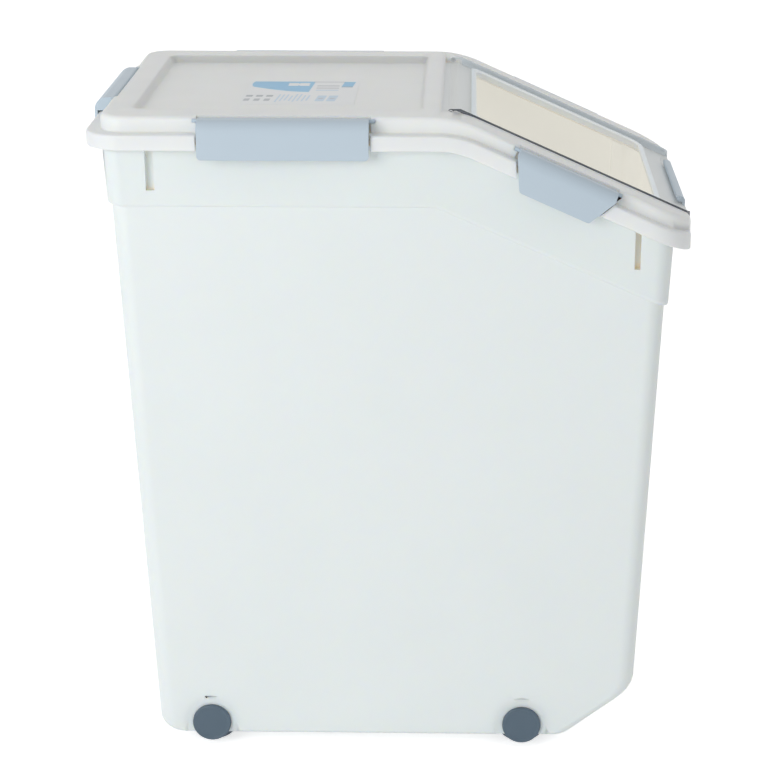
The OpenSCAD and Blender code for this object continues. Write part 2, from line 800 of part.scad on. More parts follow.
// The tub
wheel_x = [-rim_x + rear_axle_inset, rim_x - front_axle_inset];
axle_z = wheel_r;
foot_half_w = wall_at(axle_z, 0, 0)[2];
arch_floor_y = foot_half_w - arch_depth;
well_outer_y = arch_floor_y - wheel_set;
well_inner_y = well_outer_y - wheel_w - 2 * wheel_gap;
well_r = wheel_r + 3 * wheel_gap;

// Heights over the underside where the foot's outline is drawn, through both of its rounds
function foot_levels(t) =
    let (low = side_bottom_r, high = rear_bottom_r - t)
    concat([for (i = [0 : 3]) low * (1 - cos(30 * i))],
           [for (i = [1 : 4]) low + (high - low) * i / 4],
           [for (i = [-2 : 2]) chamfer_h + chamfer_blend * i / 2]);

// Outer skin of the tub: foot, drafted wall, upper band and rim flange in one stack
module tub_outside() {
    loft(concat(
        [for (h = foot_levels(0)) level(floor_clear + h, function(z) foot_at(z, 0))],
        [bent(band_depth, function(z) wall_at(z, 0, 0))],
        [for (i = [1 : 3]) let (a = 30 * i)
            bent(band_depth - band_round * (1 - cos(a)),
                 function(z) wall_at(z, band_step_end * sin(a), band_step_side * sin(a)))],
        [bent(flange_bottom, function(z) wall_at(z, band_step_end + band_flare_end,
                                                 band_step_side + band_flare_side), rim_bend_lead),
         bent(flange_bottom, fixed(grow(RIM, -flange_inset)), rim_bend_lead),
         bent(tub_top, fixed(grow(RIM, -flange_inset)), rim_bend_lead)]));
}

module tub_inside() {
    loft(concat(
        [for (h = foot_levels(wall_t))
            level(floor_clear + wall_t + h, function(z) foot_at(z, wall_t))],
        [bent(tub_top - past, function(z) wall_at(z, -wall_t, -wall_t), rim_bend_lead)]));
}

// Space of radius r on an axle, between two distances from the middle plane, open towards the floor
module well_shape(x, side, y0, y1, r) {
    translate([x, side > 0 ? y0 : -y1, axle_z])
        rotate([-90, 0, 0])
            linear_extrude(y1 - y0) {
                circle(r);
                translate([-r, 0]) square([2 * r, axle_z + past]);
            }
}

// Housings of the wheels inside the tub, each with a boss round its axle's blind seat
module wheel_housings() {
    for (x = wheel_x, side = [NEAR, FAR]) {
        well_shape(x, side, well_inner_y - wall_t, foot_half_w + past, well_r + wall_t);
        on_axle(x, side)
            translate([0, 0, axle_y0 - wall_t])
                cylinder(h = axle_seat + 2 * wall_t, r = axle_r + wall_t);
    }
}

// Shallow arch round a hub cap, with slanted walls
module arch(x, side) {
    rise = arch_depth + overlap;
    hull() {
        well_shape(x, side, arch_floor_y, arch_floor_y + 0.01, arch_r - arch_run);
        well_shape(x, side, arch_floor_y + rise, arch_floor_y + rise + 0.01,
                   arch_r - arch_run + arch_run * rise / arch_depth);
    }
}

module wheel_wells() {
    for (x = wheel_x, side = [NEAR, FAR]) {
        arch(x, side);
        well_shape(x, side, well_inner_y, well_outer_y, well_r);
    }
}

module axle_holes() {
    for (x = wheel_x, side = [NEAR, FAR])
        on_axle(x, side)
            translate([0, 0, axle_y0])
                cylinder(h = foot_half_w, r = axle_r);
}

// Upright grooves in the band near the corners, [middle, height, width]
GROOVES = [[-rim_x + wall_rear_inset + groove_rear, groove_h_rear, groove_w],
           [rim_x - wall_front_inset - groove_front, groove_h_front, groove_w_front]];

// The four grooves, grown by more on every face
module each_groove(more) {
    for (g = GROOVES, side = [NEAR, FAR]) {
        low = bent_z(g[0], skirt_bottom, rim_bend_lead) - g[1];
        y_floor = wall_at(low, 0, band_step_side)[2] - groove_depth - more;
        translate([g[0] - g[2] / 2 - more, side > 0 ? y_floor : -y_floor - past, low - more])
            cube([g[2] + 2 * more, past, g[1] + (more > 0 ? past : 0)]);
    }
}

module tub() {
    color("#e9eff0")
        difference() {
            tub_outside();
            difference() {
                tub_inside();
                wheel_housings();
                each_groove(wall_t);
            }
            wheel_wells();
            axle_holes();
            each_groove(0);
        }
}

// Wheels turn on fixed axles, whose outer ends carry the hub caps
axle_y0 = well_inner_y - axle_seat;
axle_y1 = arch_floor_y + cap_t / 2;

// Frame on an axle: z runs out from the middle plane
module on_axle(x, side) {
    translate([x, 0, axle_z])
        rotate([side > 0 ? -90 : 90, 0, 0])
            children();
}

module wheel(x, side) {
    color("#3f4a55")
        on_axle(x, side)
            translate([0, 0, well_inner_y + wheel_gap])
                rotate_extrude($fn = 64)
                    difference() {
                        polygon([[axle_r + wheel_fit, 0], [wheel_r - wheel_bevel, 0], [wheel_r, wheel_bevel],
                                 [wheel_r, wheel_w - wheel_bevel], [wheel_r - wheel_bevel, wheel_w],
                                 [axle_r + wheel_fit, wheel_w]]);
                        for (z = [-overlap, wheel_w - web_depth])
                            translate([hub_r, z])
                                square([rim_in_r - hub_r, web_depth + overlap]);
                    }
}

module axle(x, side) {
    color("#c4c8cb")
        on_axle(x, side)
            translate([0, 0, axle_y0])
                cylinder(h = axle_y1 - axle_y0, r = axle_r);
}

module hub_cap(x, side) {
    color("#56677a")
        on_axle(x, side)
            translate([0, 0, arch_floor_y])
                difference() {
                    rotate_extrude($fn = 64) {
                        square([cap_r, cap_t - cap_edge_r]);
                        square([cap_r - cap_edge_r, cap_t]);
                        translate([cap_r - cap_edge_r, cap_t - cap_edge_r]) circle(cap_edge_r);
                    }
                    translate([0, 0, -overlap])
                        cylinder(h = axle_y1 - arch_floor_y + overlap, r = axle_r);
                }
}

module wheel_rear_near() { wheel(wheel_x[0], NEAR); }
module wheel_rear_far() { wheel(wheel_x[0], FAR); }
module wheel_front_near() { wheel(wheel_x[1], NEAR); }
module wheel_front_far() { wheel(wheel_x[1], FAR); }
module axle_rear_near() { axle(wheel_x[0], NEAR); }
module axle_rear_far() { axle(wheel_x[0], FAR); }
module axle_front_near() { axle(wheel_x[1], NEAR); }
module axle_front_far() { axle(wheel_x[1], FAR); }
module hub_cap_rear_near() { hub_cap(wheel_x[0], NEAR); }
module hub_cap_rear_far() { hub_cap(wheel_x[0], FAR); }
module hub_cap_front_near() { hub_cap(wheel_x[1], NEAR); }
module hub_cap_front_far() { hub_cap(wheel_x[1], FAR); }

tub();
main_lid();
lid_seal();
flip_cover();
cover_seal();
side_latch_near();
side_latch_far();
slope_latch_near();
slope_latch_far();
rear_latch();
front_latch();
wheel_rear_near();
wheel_rear_far();
wheel_front_near();
wheel_front_far();
axle_rear_near();
axle_rear_far();
axle_front_near();
axle_front_far();
hub_cap_rear_near();
hub_cap_rear_far();
hub_cap_front_near();
hub_cap_front_far();
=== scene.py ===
"""Rice bin with a flip lid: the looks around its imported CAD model.

Everything is in metres in the part's own frame: X points to the low front end of the lid, Y to the
far side and Z up, with the floor at Z = 0. Sizes in the classes below are in millimetres, as in the
part's source.
"""

import json
import logging
import math
from dataclasses import dataclass, field, replace
from enum import Enum
from typing import Any, Mapping, Optional, Sequence

import bmesh
import bpy
import numpy as np
from mathutils import Matrix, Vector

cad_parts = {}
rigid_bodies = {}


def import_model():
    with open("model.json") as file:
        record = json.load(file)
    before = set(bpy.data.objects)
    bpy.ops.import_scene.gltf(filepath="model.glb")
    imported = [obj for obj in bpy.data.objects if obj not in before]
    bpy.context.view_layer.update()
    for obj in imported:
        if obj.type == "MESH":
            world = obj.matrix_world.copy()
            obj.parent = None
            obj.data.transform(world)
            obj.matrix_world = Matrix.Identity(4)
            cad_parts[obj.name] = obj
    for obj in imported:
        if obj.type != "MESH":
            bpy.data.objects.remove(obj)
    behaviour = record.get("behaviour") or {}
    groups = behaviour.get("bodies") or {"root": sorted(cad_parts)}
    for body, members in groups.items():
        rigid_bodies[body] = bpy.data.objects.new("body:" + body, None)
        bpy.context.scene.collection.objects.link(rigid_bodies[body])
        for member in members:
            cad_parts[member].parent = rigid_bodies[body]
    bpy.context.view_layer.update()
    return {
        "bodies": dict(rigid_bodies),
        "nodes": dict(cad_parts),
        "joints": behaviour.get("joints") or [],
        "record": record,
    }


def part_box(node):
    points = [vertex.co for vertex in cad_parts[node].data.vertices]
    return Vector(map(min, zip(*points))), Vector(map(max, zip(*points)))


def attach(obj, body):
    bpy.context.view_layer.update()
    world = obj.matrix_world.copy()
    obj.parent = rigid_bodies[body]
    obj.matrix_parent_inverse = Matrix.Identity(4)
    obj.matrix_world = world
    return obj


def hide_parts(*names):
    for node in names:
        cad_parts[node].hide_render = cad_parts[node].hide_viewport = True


Tree = bpy.types.NodeTree
Node = bpy.types.Node
Socket = bpy.types.NodeSocket
Piece = bpy.types.Object

LOG = logging.getLogger("rice_bin")
MM = 0.001

# The shares of open sky between which the painted shade of gaps and corners gives way to the open
# colour
PAINTED_SHADE_RANGE = (0.1, 0.48)
# The noise values between which gloss runs from smooth to rough
GLOSS_RANGE = (0.3, 0.7)
# The width of the patches of gloss, as a share of the patches of tone
GLOSS_PATCH = 0.4
# Layers of finer noise: for slow ripples, for patches of gloss and fibres, and for all else
SLOW_DETAIL, FINE_DETAIL, PLAIN_DETAIL = 1.0, 3.0, 2.0
# How strongly a bump of grain and one of ripples or rings turns the light
GRAIN_STRENGTH, RIPPLE_STRENGTH = 0.5, 0.3
# How far red, green and blue light travel in white plastic, as shares of the farthest
SKIN_REACH = (1.0, 0.85, 0.6)
# Rays that look for the close walls that bring painted shade, and for an edge
PAINTED_SHADE_RAYS, EDGE_RAYS = 6, 4
# The repeat of a wave texture of scale 1, in metres
WAVE_REPEAT = 0.314

# Corners that are merged, and slivers that are dropped, where they are smaller than this
MERGE_MM, SLIVER_MM = 0.01, 0.005
# How much large faces count for the direction of shading
FACE_WEIGHT = 80
# A profile point this near to the axis lies on it
ON_AXIS = 1e-9
# Angles over which an edge stays sharp: big mouldings, thin ones, seals and turned pieces
BIG_SHARP, THIN_SHARP, SEAL_SHARP, TURNED_SHARP = 35.0, 30.0, 32.0, 40.0


# --- Colour and nodes ---


def linear(hex_colour: str) -> tuple[float, float, float, float]:
    """Turns an sRGB hex value into linear colour.

    Each channel c is c / 12.92 up to 0.04045, and ((c + 0.055) / 1.055) ^ 2.4 above it.

    Args:
        hex_colour: a value such as "#E6EAED".

    Returns:
        Red, green, blue and an alpha of 1.
    """
    channels = np.array([int(hex_colour[i : i + 2], 16) for i in (1, 3, 5)]) / 255.0
    straight = np.where(channels <= 0.04045, channels / 12.92, ((channels + 0.055) / 1.055) ** 2.4)
    return (float(straight[0]), float(straight[1]), float(straight[2]), 1.0)


def feed(tree: Tree, node: Node, inputs: Mapping[Any, Any]) -> None:
    """Fills a node's inputs.

    Args:
        tree: the node tree that it is in.
        node: the node.
        inputs: a socket's name or number, with a value for it or an output socket to link to it.
    """
    for key, value in inputs.items():
        if isinstance(value, Socket):
            tree.links.new(value, node.inputs[key])
        else:
            node.inputs[key].default_value = value


def add_node(
    tree: Tree, kind: str, inputs: Optional[Mapping[Any, Any]] = None, **settings: Any
) -> Node:
    """Adds one node with its settings and its links.

    Args:
        tree: the node tree that it goes into.
        kind: the node's type, such as "ShaderNodeBump".
        inputs: what its sockets hold, as feed takes it.
        **settings: the node's own properties.

    Returns:
        The new node.
    """
    node = tree.nodes.new(kind)
    for key, value in settings.items():
        setattr(node, key, value)
    feed(tree, node, inputs or {})
    return node


def piece_place(tree: Tree) -> Socket:
    """The place on the piece in its own coordinates, in metres."""
    return add_node(tree, "ShaderNodeTexCoord").outputs["Object"]


def noise(tree: Tree, place: Socket, width_mm: float, detail: float = PLAIN_DETAIL) -> Socket:
    """Adds noise.

    Args:
        tree: the node tree that it goes into.
        place: where on the piece it is read.
        width_mm: the width of its patches.
        detail: its layers of finer noise.

    Returns:
        The socket with its value.
    """
    inputs = {"Vector": place, "Scale": 1 / (width_mm * MM), "Detail": detail}
    return add_node(tree, "ShaderNodeTexNoise", inputs).outputs["Fac"]


def spread(
    tree: Tree, value: Socket, low: float, high: float, start: float = 0.0, end: float = 1.0
) -> Socket:
    """Adds a map from the range start to end onto the range low to high, and gives its result."""
    inputs = {"Value": value, "From Min": start, "From Max": end, "To Min": low, "To Max": high}
    return add_node(tree, "ShaderNodeMapRange", inputs).outputs["Result"]


def blend(tree: Tree, share: Socket, first: Any, second: Any) -> Socket:
    """Adds a mix of two colours, all the first at a share of 0, and gives its result."""
    inputs = {0: share, 6: first, 7: second}
    return add_node(tree, "ShaderNodeMix", inputs, data_type="RGBA").outputs[2]


def bump(
    tree: Tree,
    height: Socket,
    strength: float,
    depth_mm: float,
    normal: Optional[Socket] = None,
) -> Socket:
    """Adds a bump.

    Args:
        tree: the node tree that it goes into.
        height: its height as a share of its depth.
        strength: how strongly it turns the light.
        depth_mm: its depth.
        normal: the normal that it starts from, or None for the face's own.

    Returns:
        The socket with the turned normal.
    """
    inputs = {"Strength": strength, "Distance": depth_mm * MM, "Height": height}
    if normal is not None:
        inputs["Normal"] = normal
    return add_node(tree, "ShaderNodeBump", inputs).outputs["Normal"]


class Body(Enum):
    """The CAD bodies that more than one piece rides on."""

    TUB = "tub"
    LID = "lid"
    COVER = "cover"


# --- Finishes ---


@dataclass(frozen=True)
class Finish:
    """What every finish has: its material's name and a slot's name, which is not used."""

    name: str
    slot: str

    def wire(self, tree: Tree, shader: Node) -> None:
        """Sets the shader's sockets and adds the nodes that feed them.

        Args:
            tree: the material's node tree.
            shader: its Principled BSDF.
        """
        raise NotImplementedError

    def material(self) -> bpy.types.Material:
        """The finish as a material, made the first time it is asked for."""
        found = bpy.data.materials.get(self.name)
        if found is not None:
            return found
        made = bpy.data.materials.new(self.name)
        made.use_nodes = True
        self.wire(made.node_tree, made.node_tree.nodes["Principled BSDF"])
        return made


@dataclass(frozen=True)
class MouldedPlastic(Finish):
    """An injection-moulded plastic: satin gloss, fine eroded grain, slow tone changes, painted
    shade.

    Attributes:
        colour: its colour in the open.
        drift: the colour that it drifts to in wide patches, where the melt cooled at another rate.
        painted_crevice_shade: painted shade, its colour in gaps and corners, where light only comes
            through and from the plastic.
        painted_shade_reach_mm: how far apart two walls may be for the space between them to get
            that painted shade.
        painted_shade_alone: True where only the piece's own walls bring that painted shade, as
            under clear plastic.
        drift_mm: the width of the patches.
        grain_mm: the grain's spacing, drawn coarser than the real 0.1 mm so that it shows.
        grain_depth_mm: the height of the grain.
        smooth: the roughness of its glossiest patches.
        rough: the roughness of its dullest patches.
        edge_mm: the radius that the tool leaves on edges.
        glow: how much light passes through its skin.
        glow_mm: how far that light travels.
        through: painted glow, as a share of white: emission for the light that reaches a wall's
            inner side through the wall.
        painted_glow_tint: the colour of that painted glow, which the wall gives it.
        gloss: the strength of its gloss, 0.5 for plain plastic.
        ior: its refractive index.
    """

    colour: str = "#FFFFFF"
    drift: str = "#FFFFFF"
    painted_crevice_shade: str = "#FFFFFF"
    painted_shade_reach_mm: float = 6.0
    painted_shade_alone: bool = False
    drift_mm: float = 70.0
    grain_mm: float = 1.3
    grain_depth_mm: float = 0.012
    smooth: float = 0.36
    rough: float = 0.46
    edge_mm: float = 0.5
    glow: float = 0.0
    glow_mm: float = 1.5
    through: float = 0.0
    painted_glow_tint: str = "#FFFCF4"
    gloss: float = 0.5
    ior: float = 1.49

    def wire(self, tree: Tree, shader: Node) -> None:
        """Tone and gloss from noise, painted shade in gaps and corners, grain as a bump over
        rounded edges.

        Args:
            tree: the material's node tree.
            shader: its Principled BSDF.
        """
        place = piece_place(tree)
        patches = noise(tree, place, self.drift_mm)
        tone = blend(tree, patches, linear(self.colour), linear(self.drift))
        # Painted shade: where close walls block the open sky, the colour gives way to the one for
        # gaps and corners.
        open_sky = add_node(
            tree,
            "ShaderNodeAmbientOcclusion",
            {"Distance": self.painted_shade_reach_mm * MM},
            samples=PAINTED_SHADE_RAYS,
            only_local=self.painted_shade_alone,
        )
        openness = spread(tree, open_sky.outputs["AO"], 0.0, 1.0, *PAINTED_SHADE_RANGE)
        sheen = noise(tree, place, GLOSS_PATCH * self.drift_mm, FINE_DETAIL)
        edge = add_node(
            tree, "ShaderNodeBevel", {"Radius": self.edge_mm * MM}, samples=EDGE_RAYS
        ).outputs["Normal"]
        grain = noise(tree, place, self.grain_mm)
        feed(
            tree,
            shader,
            {
                "Base Color": blend(tree, openness, linear(self.painted_crevice_shade), tone),
                "Roughness": spread(tree, sheen, self.smooth, self.rough, *GLOSS_RANGE),
                "Normal": bump(tree, grain, GRAIN_STRENGTH, self.grain_depth_mm, edge),
                "IOR": self.ior,
                "Subsurface Weight": self.glow,
                "Subsurface Scale": self.glow_mm * MM,
                "Subsurface Radius": SKIN_REACH,
                "Specular IOR Level": self.gloss,
                # Painted glow: emission that stands in for light that comes through the wall.
                "Emission Color": linear(self.painted_glow_tint),
                "Emission Strength": self.through,
            },
        )


@dataclass(frozen=True)
class ClearPlastic(Finish):
    """A clear moulded styrene sheet: glossy over a faint blue haze, with slow ripples of flow.

    Attributes:
        colour: the haze's colour.
        haze_low: its cover in the clearest patches.
        haze_high: its cover in the haziest patches.
        ripple_mm: the length of the flow ripples.
        ripple_depth_mm: their height.
        roughness: the gloss of the polished tool.
        ior: the refractive index of styrene.
    """

    colour: str = "#DFE7EC"
    haze_low: float = 0.06
    haze_high: float = 0.1
    ripple_mm: float = 45.0
    ripple_depth_mm: float = 0.05
    roughness: float = 0.08
    ior: float = 1.57

    def wire(self, tree: Tree, shader: Node) -> None:
        """Haze from wide noise on the alpha, ripples as a bump.

        Args:
            tree: the material's node tree.
            shader: its Principled BSDF.
        """
        flow = noise(tree, piece_place(tree), self.ripple_mm, SLOW_DETAIL)
        feed(
            tree,
            shader,
            {
                "Alpha": spread(tree, flow, self.haze_low, self.haze_high),
                "Normal": bump(tree, flow, RIPPLE_STRENGTH, self.ripple_depth_mm),
                "Base Color": linear(self.colour),
                "Roughness": self.roughness,
                "IOR": self.ior,
            },
        )


@dataclass(frozen=True)
class TurnedSteel(Finish):
    """Bright drawn steel rod: fine lathe rings along its length.

    Attributes:
        colour: the colour of its reflections.
        ring_mm: the spacing of the rings, drawn coarser than the real 0.1 mm so that they show.
        ring_depth_mm: the depth of the rings.
        wobble: how unevenly the rings run.
        smear_mm: the width of the patches of gloss.
        smooth: the roughness of its glossiest patches.
        rough: the roughness of its dullest patches.
    """

    colour: str = "#B9BBBD"
    ring_mm: float = 0.5
    ring_depth_mm: float = 0.02
    wobble: float = 0.4
    smear_mm: float = 3.0
    smooth: float = 0.22
    rough: float = 0.4

    def wire(self, tree: Tree, shader: Node) -> None:
        """Rings along Y as a bump, and a little noise in the gloss.

        Args:
            tree: the material's node tree.
            shader: its Principled BSDF.
        """
        place = piece_place(tree)
        scale = WAVE_REPEAT / (self.ring_mm * MM)
        waves = {"Vector": place, "Scale": scale, "Distortion": self.wobble}
        rings = add_node(tree, "ShaderNodeTexWave", waves, bands_direction="Y").outputs["Fac"]
        smear = noise(tree, place, self.smear_mm)
        feed(
            tree,
            shader,
            {
                "Normal": bump(tree, rings, RIPPLE_STRENGTH, self.ring_depth_mm),
                "Roughness": spread(tree, smear, self.smooth, self.rough),
                "Base Color": linear(self.colour),
                "Metallic": 1.0,
            },
        )


@dataclass(frozen=True)
class InkedFilm(Finish):
    """A thin printed film on the panel: inks from the piece's "print" colours under clear varnish.

    Attributes:
        patch_mm: the width of the varnish's patches of gloss.
        smooth: the roughness of its glossiest patches.
        rough: the roughness of its dullest patches.
        ior: the varnish's refractive index.
    """

    patch_mm: float = 9.0
    smooth: float = 0.3
    rough: float = 0.42
    ior: float = 1.5

    def wire(self, tree: Tree, shader: Node) -> None:
        """Ink from the colour attribute, and slightly uneven varnish.

        Args:
            tree: the material's node tree.
            shader: its Principled BSDF.
        """
        ink = add_node(tree, "ShaderNodeVertexColor", layer_name="print").outputs["Color"]
        varnish = noise(tree, piece_place(tree), self.patch_mm)
        gloss = spread(tree, varnish, self.smooth, self.rough)
        feed(tree, shader, {"Base Color": ink, "Roughness": gloss, "IOR": self.ior})


# Each finish's colour for gaps and corners is painted shade; the tub's is warmer and redder, a
# painted warm glow in its grooves and under the lid.
TUB_POLYPROPYLENE = MouldedPlastic(
    name="moulded_cool_white_polypropylene",
    slot="white_plastic",
    colour="#E9F0F1",
    drift="#E6EDEE",
    painted_crevice_shade="#FFE6BE",
    glow=0.6,
    glow_mm=4.0,
)
# A lit copy of the white polypropylene for inner faces: its emission is a painted glow for light
# through the wall.
PAINTED_GLOW_INSIDE = MouldedPlastic(
    name="moulded_white_polypropylene_inside_painted_glow",
    slot="white_plastic",
    colour="#F2F1ED",
    drift="#EFEEE9",
    painted_crevice_shade="#EDE6D6",
    through=0.175,
)
# A lit copy of the lid's polypropylene for the clear cover's seat: its emission is a painted glow,
# tinted blue, for light through the cover.
PAINTED_GLOW_SEAT = MouldedPlastic(
    name="moulded_white_polypropylene_seat_painted_glow",
    slot="white_plastic",
    colour="#EEF1F1",
    drift="#EBEEEE",
    painted_crevice_shade="#E9E9E4",
    through=0.035,
    painted_glow_tint="#E4F2FF",
)
LID_POLYPROPYLENE = MouldedPlastic(
    name="moulded_white_polypropylene",
    slot="white_plastic",
    colour="#EEF1F1",
    drift="#EBEEEE",
    painted_crevice_shade="#F6E2C2",
    painted_shade_alone=True,
    glow=0.6,
    glow_mm=4.0,
)
SATIN_LATCH = MouldedPlastic(
    name="moulded_blue_grey_polypropylene",
    slot="latch_plastic",
    colour="#C3D2DD",
    drift="#BFCEDA",
    painted_crevice_shade="#A9B7C6",
    painted_shade_alone=True,
    smooth=0.3,
    rough=0.38,
    edge_mm=0.4,
    gloss=0.3,
)
DARK_CAP = MouldedPlastic(
    name="moulded_slate_nylon",
    slot="cap_plastic",
    colour="#506271",
    drift="#4D5F6D",
    painted_crevice_shade="#414F5B",
    painted_shade_reach_mm=4.0,
    drift_mm=20.0,
    smooth=0.4,
    rough=0.5,
    edge_mm=0.3,
)
DARK_WHEEL = replace(
    DARK_CAP,
    name="moulded_slate_wheel_nylon",
    slot="wheel_plastic",
    colour="#4C5A68",
    drift="#475562",
    painted_crevice_shade="#333D47",
    drift_mm=15.0,
    smooth=0.45,
    rough=0.6,
)
SEAL_RUBBER = MouldedPlastic(
    name="moulded_silicone_rubber",
    slot="seal",
    colour="#DCE0E2",
    drift="#D6DADB",
    painted_crevice_shade="#C9C6BE",
    painted_shade_reach_mm=4.0,
    drift_mm=25.0,
    grain_mm=1.0,
    smooth=0.55,
    rough=0.68,
    edge_mm=0.3,
    glow=0.15,
)
# A lit copy of the seal rubber for the cover's seal: its emission is a painted glow for light
# through the cover.
COVER_SEAL_RUBBER = replace(
    SEAL_RUBBER,
    name="moulded_clear_silicone_rubber_painted_glow",
    colour="#E6EAEC",
    drift="#E2E6E8",
    painted_crevice_shade="#D8DCDC",
    through=0.2,
    painted_glow_tint="#F0F8FF",
)
CLEAR_STYRENE = ClearPlastic(name="moulded_clear_styrene", slot="clear_plastic")
CLEAR_LIP = ClearPlastic(
    name="moulded_clear_styrene_lip",
    slot="clear_plastic",
    colour="#DCE4E9",
    haze_low=0.8,
    haze_high=0.9,
    ripple_mm=20.0,
    roughness=0.2,
)
# Painted shade: a dark copy of the lip's finish, laid on the near lip's outer faces in place of the
# shade along that edge.
PAINTED_SHADE_EDGE = replace(
    CLEAR_LIP,
    name="moulded_clear_styrene_painted_shade_edge",
    colour="#2A3444",
    haze_low=0.82,
    haze_high=0.95,
)
AXLE_STEEL = TurnedSteel(name="drawn_steel", slot="axle_steel")
PANEL_PRINT = InkedFilm(name="printed_varnished_film", slot="white_plastic")


# --- Meshes ---


def link_mesh(name: str, mesh: bpy.types.Mesh) -> Piece:
    """Puts a mesh into the scene as an object at the origin, unturned and unscaled."""
    piece = bpy.data.objects.new(name, mesh)
    bpy.context.scene.collection.objects.link(piece)
    return piece


def dress(piece: Piece, finishes: Sequence[Finish]) -> Piece:
    """Gives a piece its finishes.

    Args:
        piece: the object to dress.
        finishes: one finish for each material slot.

    Returns:
        The piece.
    """
    piece.data.materials.clear()
    for finish in finishes:
        piece.data.materials.append(finish.material())
    return piece


def face_table(piece: Piece) -> tuple[np.ndarray, np.ndarray]:
    """Each face's unit normal and its middle in millimetres, one row for each face."""
    faces = len(piece.data.polygons)
    normals, middles = np.empty(faces * 3), np.empty(faces * 3)
    piece.data.polygons.foreach_get("normal", normals)
    piece.data.polygons.foreach_get("center", middles)
    return normals.reshape(-1, 3), middles.reshape(-1, 3) / MM


def even_normals(piece: Piece, sharp_degrees: float) -> None:
    """Shades a piece smoothly, with sharp edges kept and large faces flat.

    Args:
        piece: the object to shade.
        sharp_degrees: an edge that turns by more stays sharp.
    """
    mesh = piece.data
    mesh.polygons.foreach_set("use_smooth", np.ones(len(mesh.polygons), dtype=bool))
    mesh.set_sharp_from_angle(angle=math.radians(sharp_degrees))
    weighted = piece.modifiers.new("even_normals", "WEIGHTED_NORMAL")
    weighted.keep_sharp = True
    weighted.weight = FACE_WEIGHT


def merged_copy(source: Piece, name: str, flat_degrees: float = 0.3) -> Piece:
    """Copies a CAD node as one closed mesh with whole faces.

    Corners less than a hundredth of a millimetre apart are merged, and triangles that lie in one
    plane are joined, so that normals and rounded edges run cleanly.

    Args:
        source: the CAD node's object.
        name: the new piece's name.
        flat_degrees: triangles that turn by less count as one plane.

    Returns:
        The new piece.
    """
    shell = bmesh.new()
    shell.from_mesh(source.data)
    bmesh.ops.remove_doubles(shell, verts=shell.verts, dist=MERGE_MM * MM)
    bmesh.ops.dissolve_degenerate(shell, edges=shell.edges, dist=SLIVER_MM * MM)
    bmesh.ops.dissolve_limit(
        shell,
        angle_limit=math.radians(flat_degrees),
        verts=shell.verts,
        edges=shell.edges,
        delimit={"NORMAL"},
    )
    mesh = bpy.data.meshes.new(name)
    shell.to_mesh(mesh)
    shell.free()
    return link_mesh(name, mesh)


def rounded_profile(
    corners: Sequence[tuple[float, float]], radii: Sequence[float], closed: bool, steps: int = 6
) -> np.ndarray:
    """Rounds the corners of a profile.

    At a corner with unit directions a and b to its neighbours and half the angle between them h,
    the arc of radius r touches both sides at r / tan(h), and its centre lies at r / sin(h) along
    the bisector. The arc's points are the centre plus r in directions swept from one touching
    point to the other.

    Args:
        corners: the profile's corners.
        radii: each corner's radius, or 0 where it stays sharp.
        closed: True where the last corner joins the first.
        steps: the points of an arc, less one.

    Returns:
        The profile's points, one row each.
    """
    points = np.asarray(corners, dtype=float)
    count = len(points)
    rows = []
    for i in range(count):
        inside = closed or 0 < i < count - 1
        if radii[i] <= 0 or not inside:
            rows.append(points[i : i + 1])
            continue
        to_last = points[i - 1] - points[i]
        to_next = points[(i + 1) % count] - points[i]
        a, b = to_last / np.linalg.norm(to_last), to_next / np.linalg.norm(to_next)
        half = 0.5 * math.acos(float(np.clip(a @ b, -1, 1)))
        bisector = (a + b) / np.linalg.norm(a + b)
        centre = points[i] + bisector * radii[i] / math.sin(half)
        start = points[i] + a * radii[i] / math.tan(half) - centre
        end = points[i] + b * radii[i] / math.tan(half) - centre
        turn = math.atan2(float(start[0] * end[1] - start[1] * end[0]), float(start @ end))
        sweep = turn * np.linspace(0, 1, steps + 1)[:, None]
        across = np.array([-start[1], start[0]])
        rows.append(centre + np.cos(sweep) * start + np.sin(sweep) * across)
    return np.concatenate(rows)


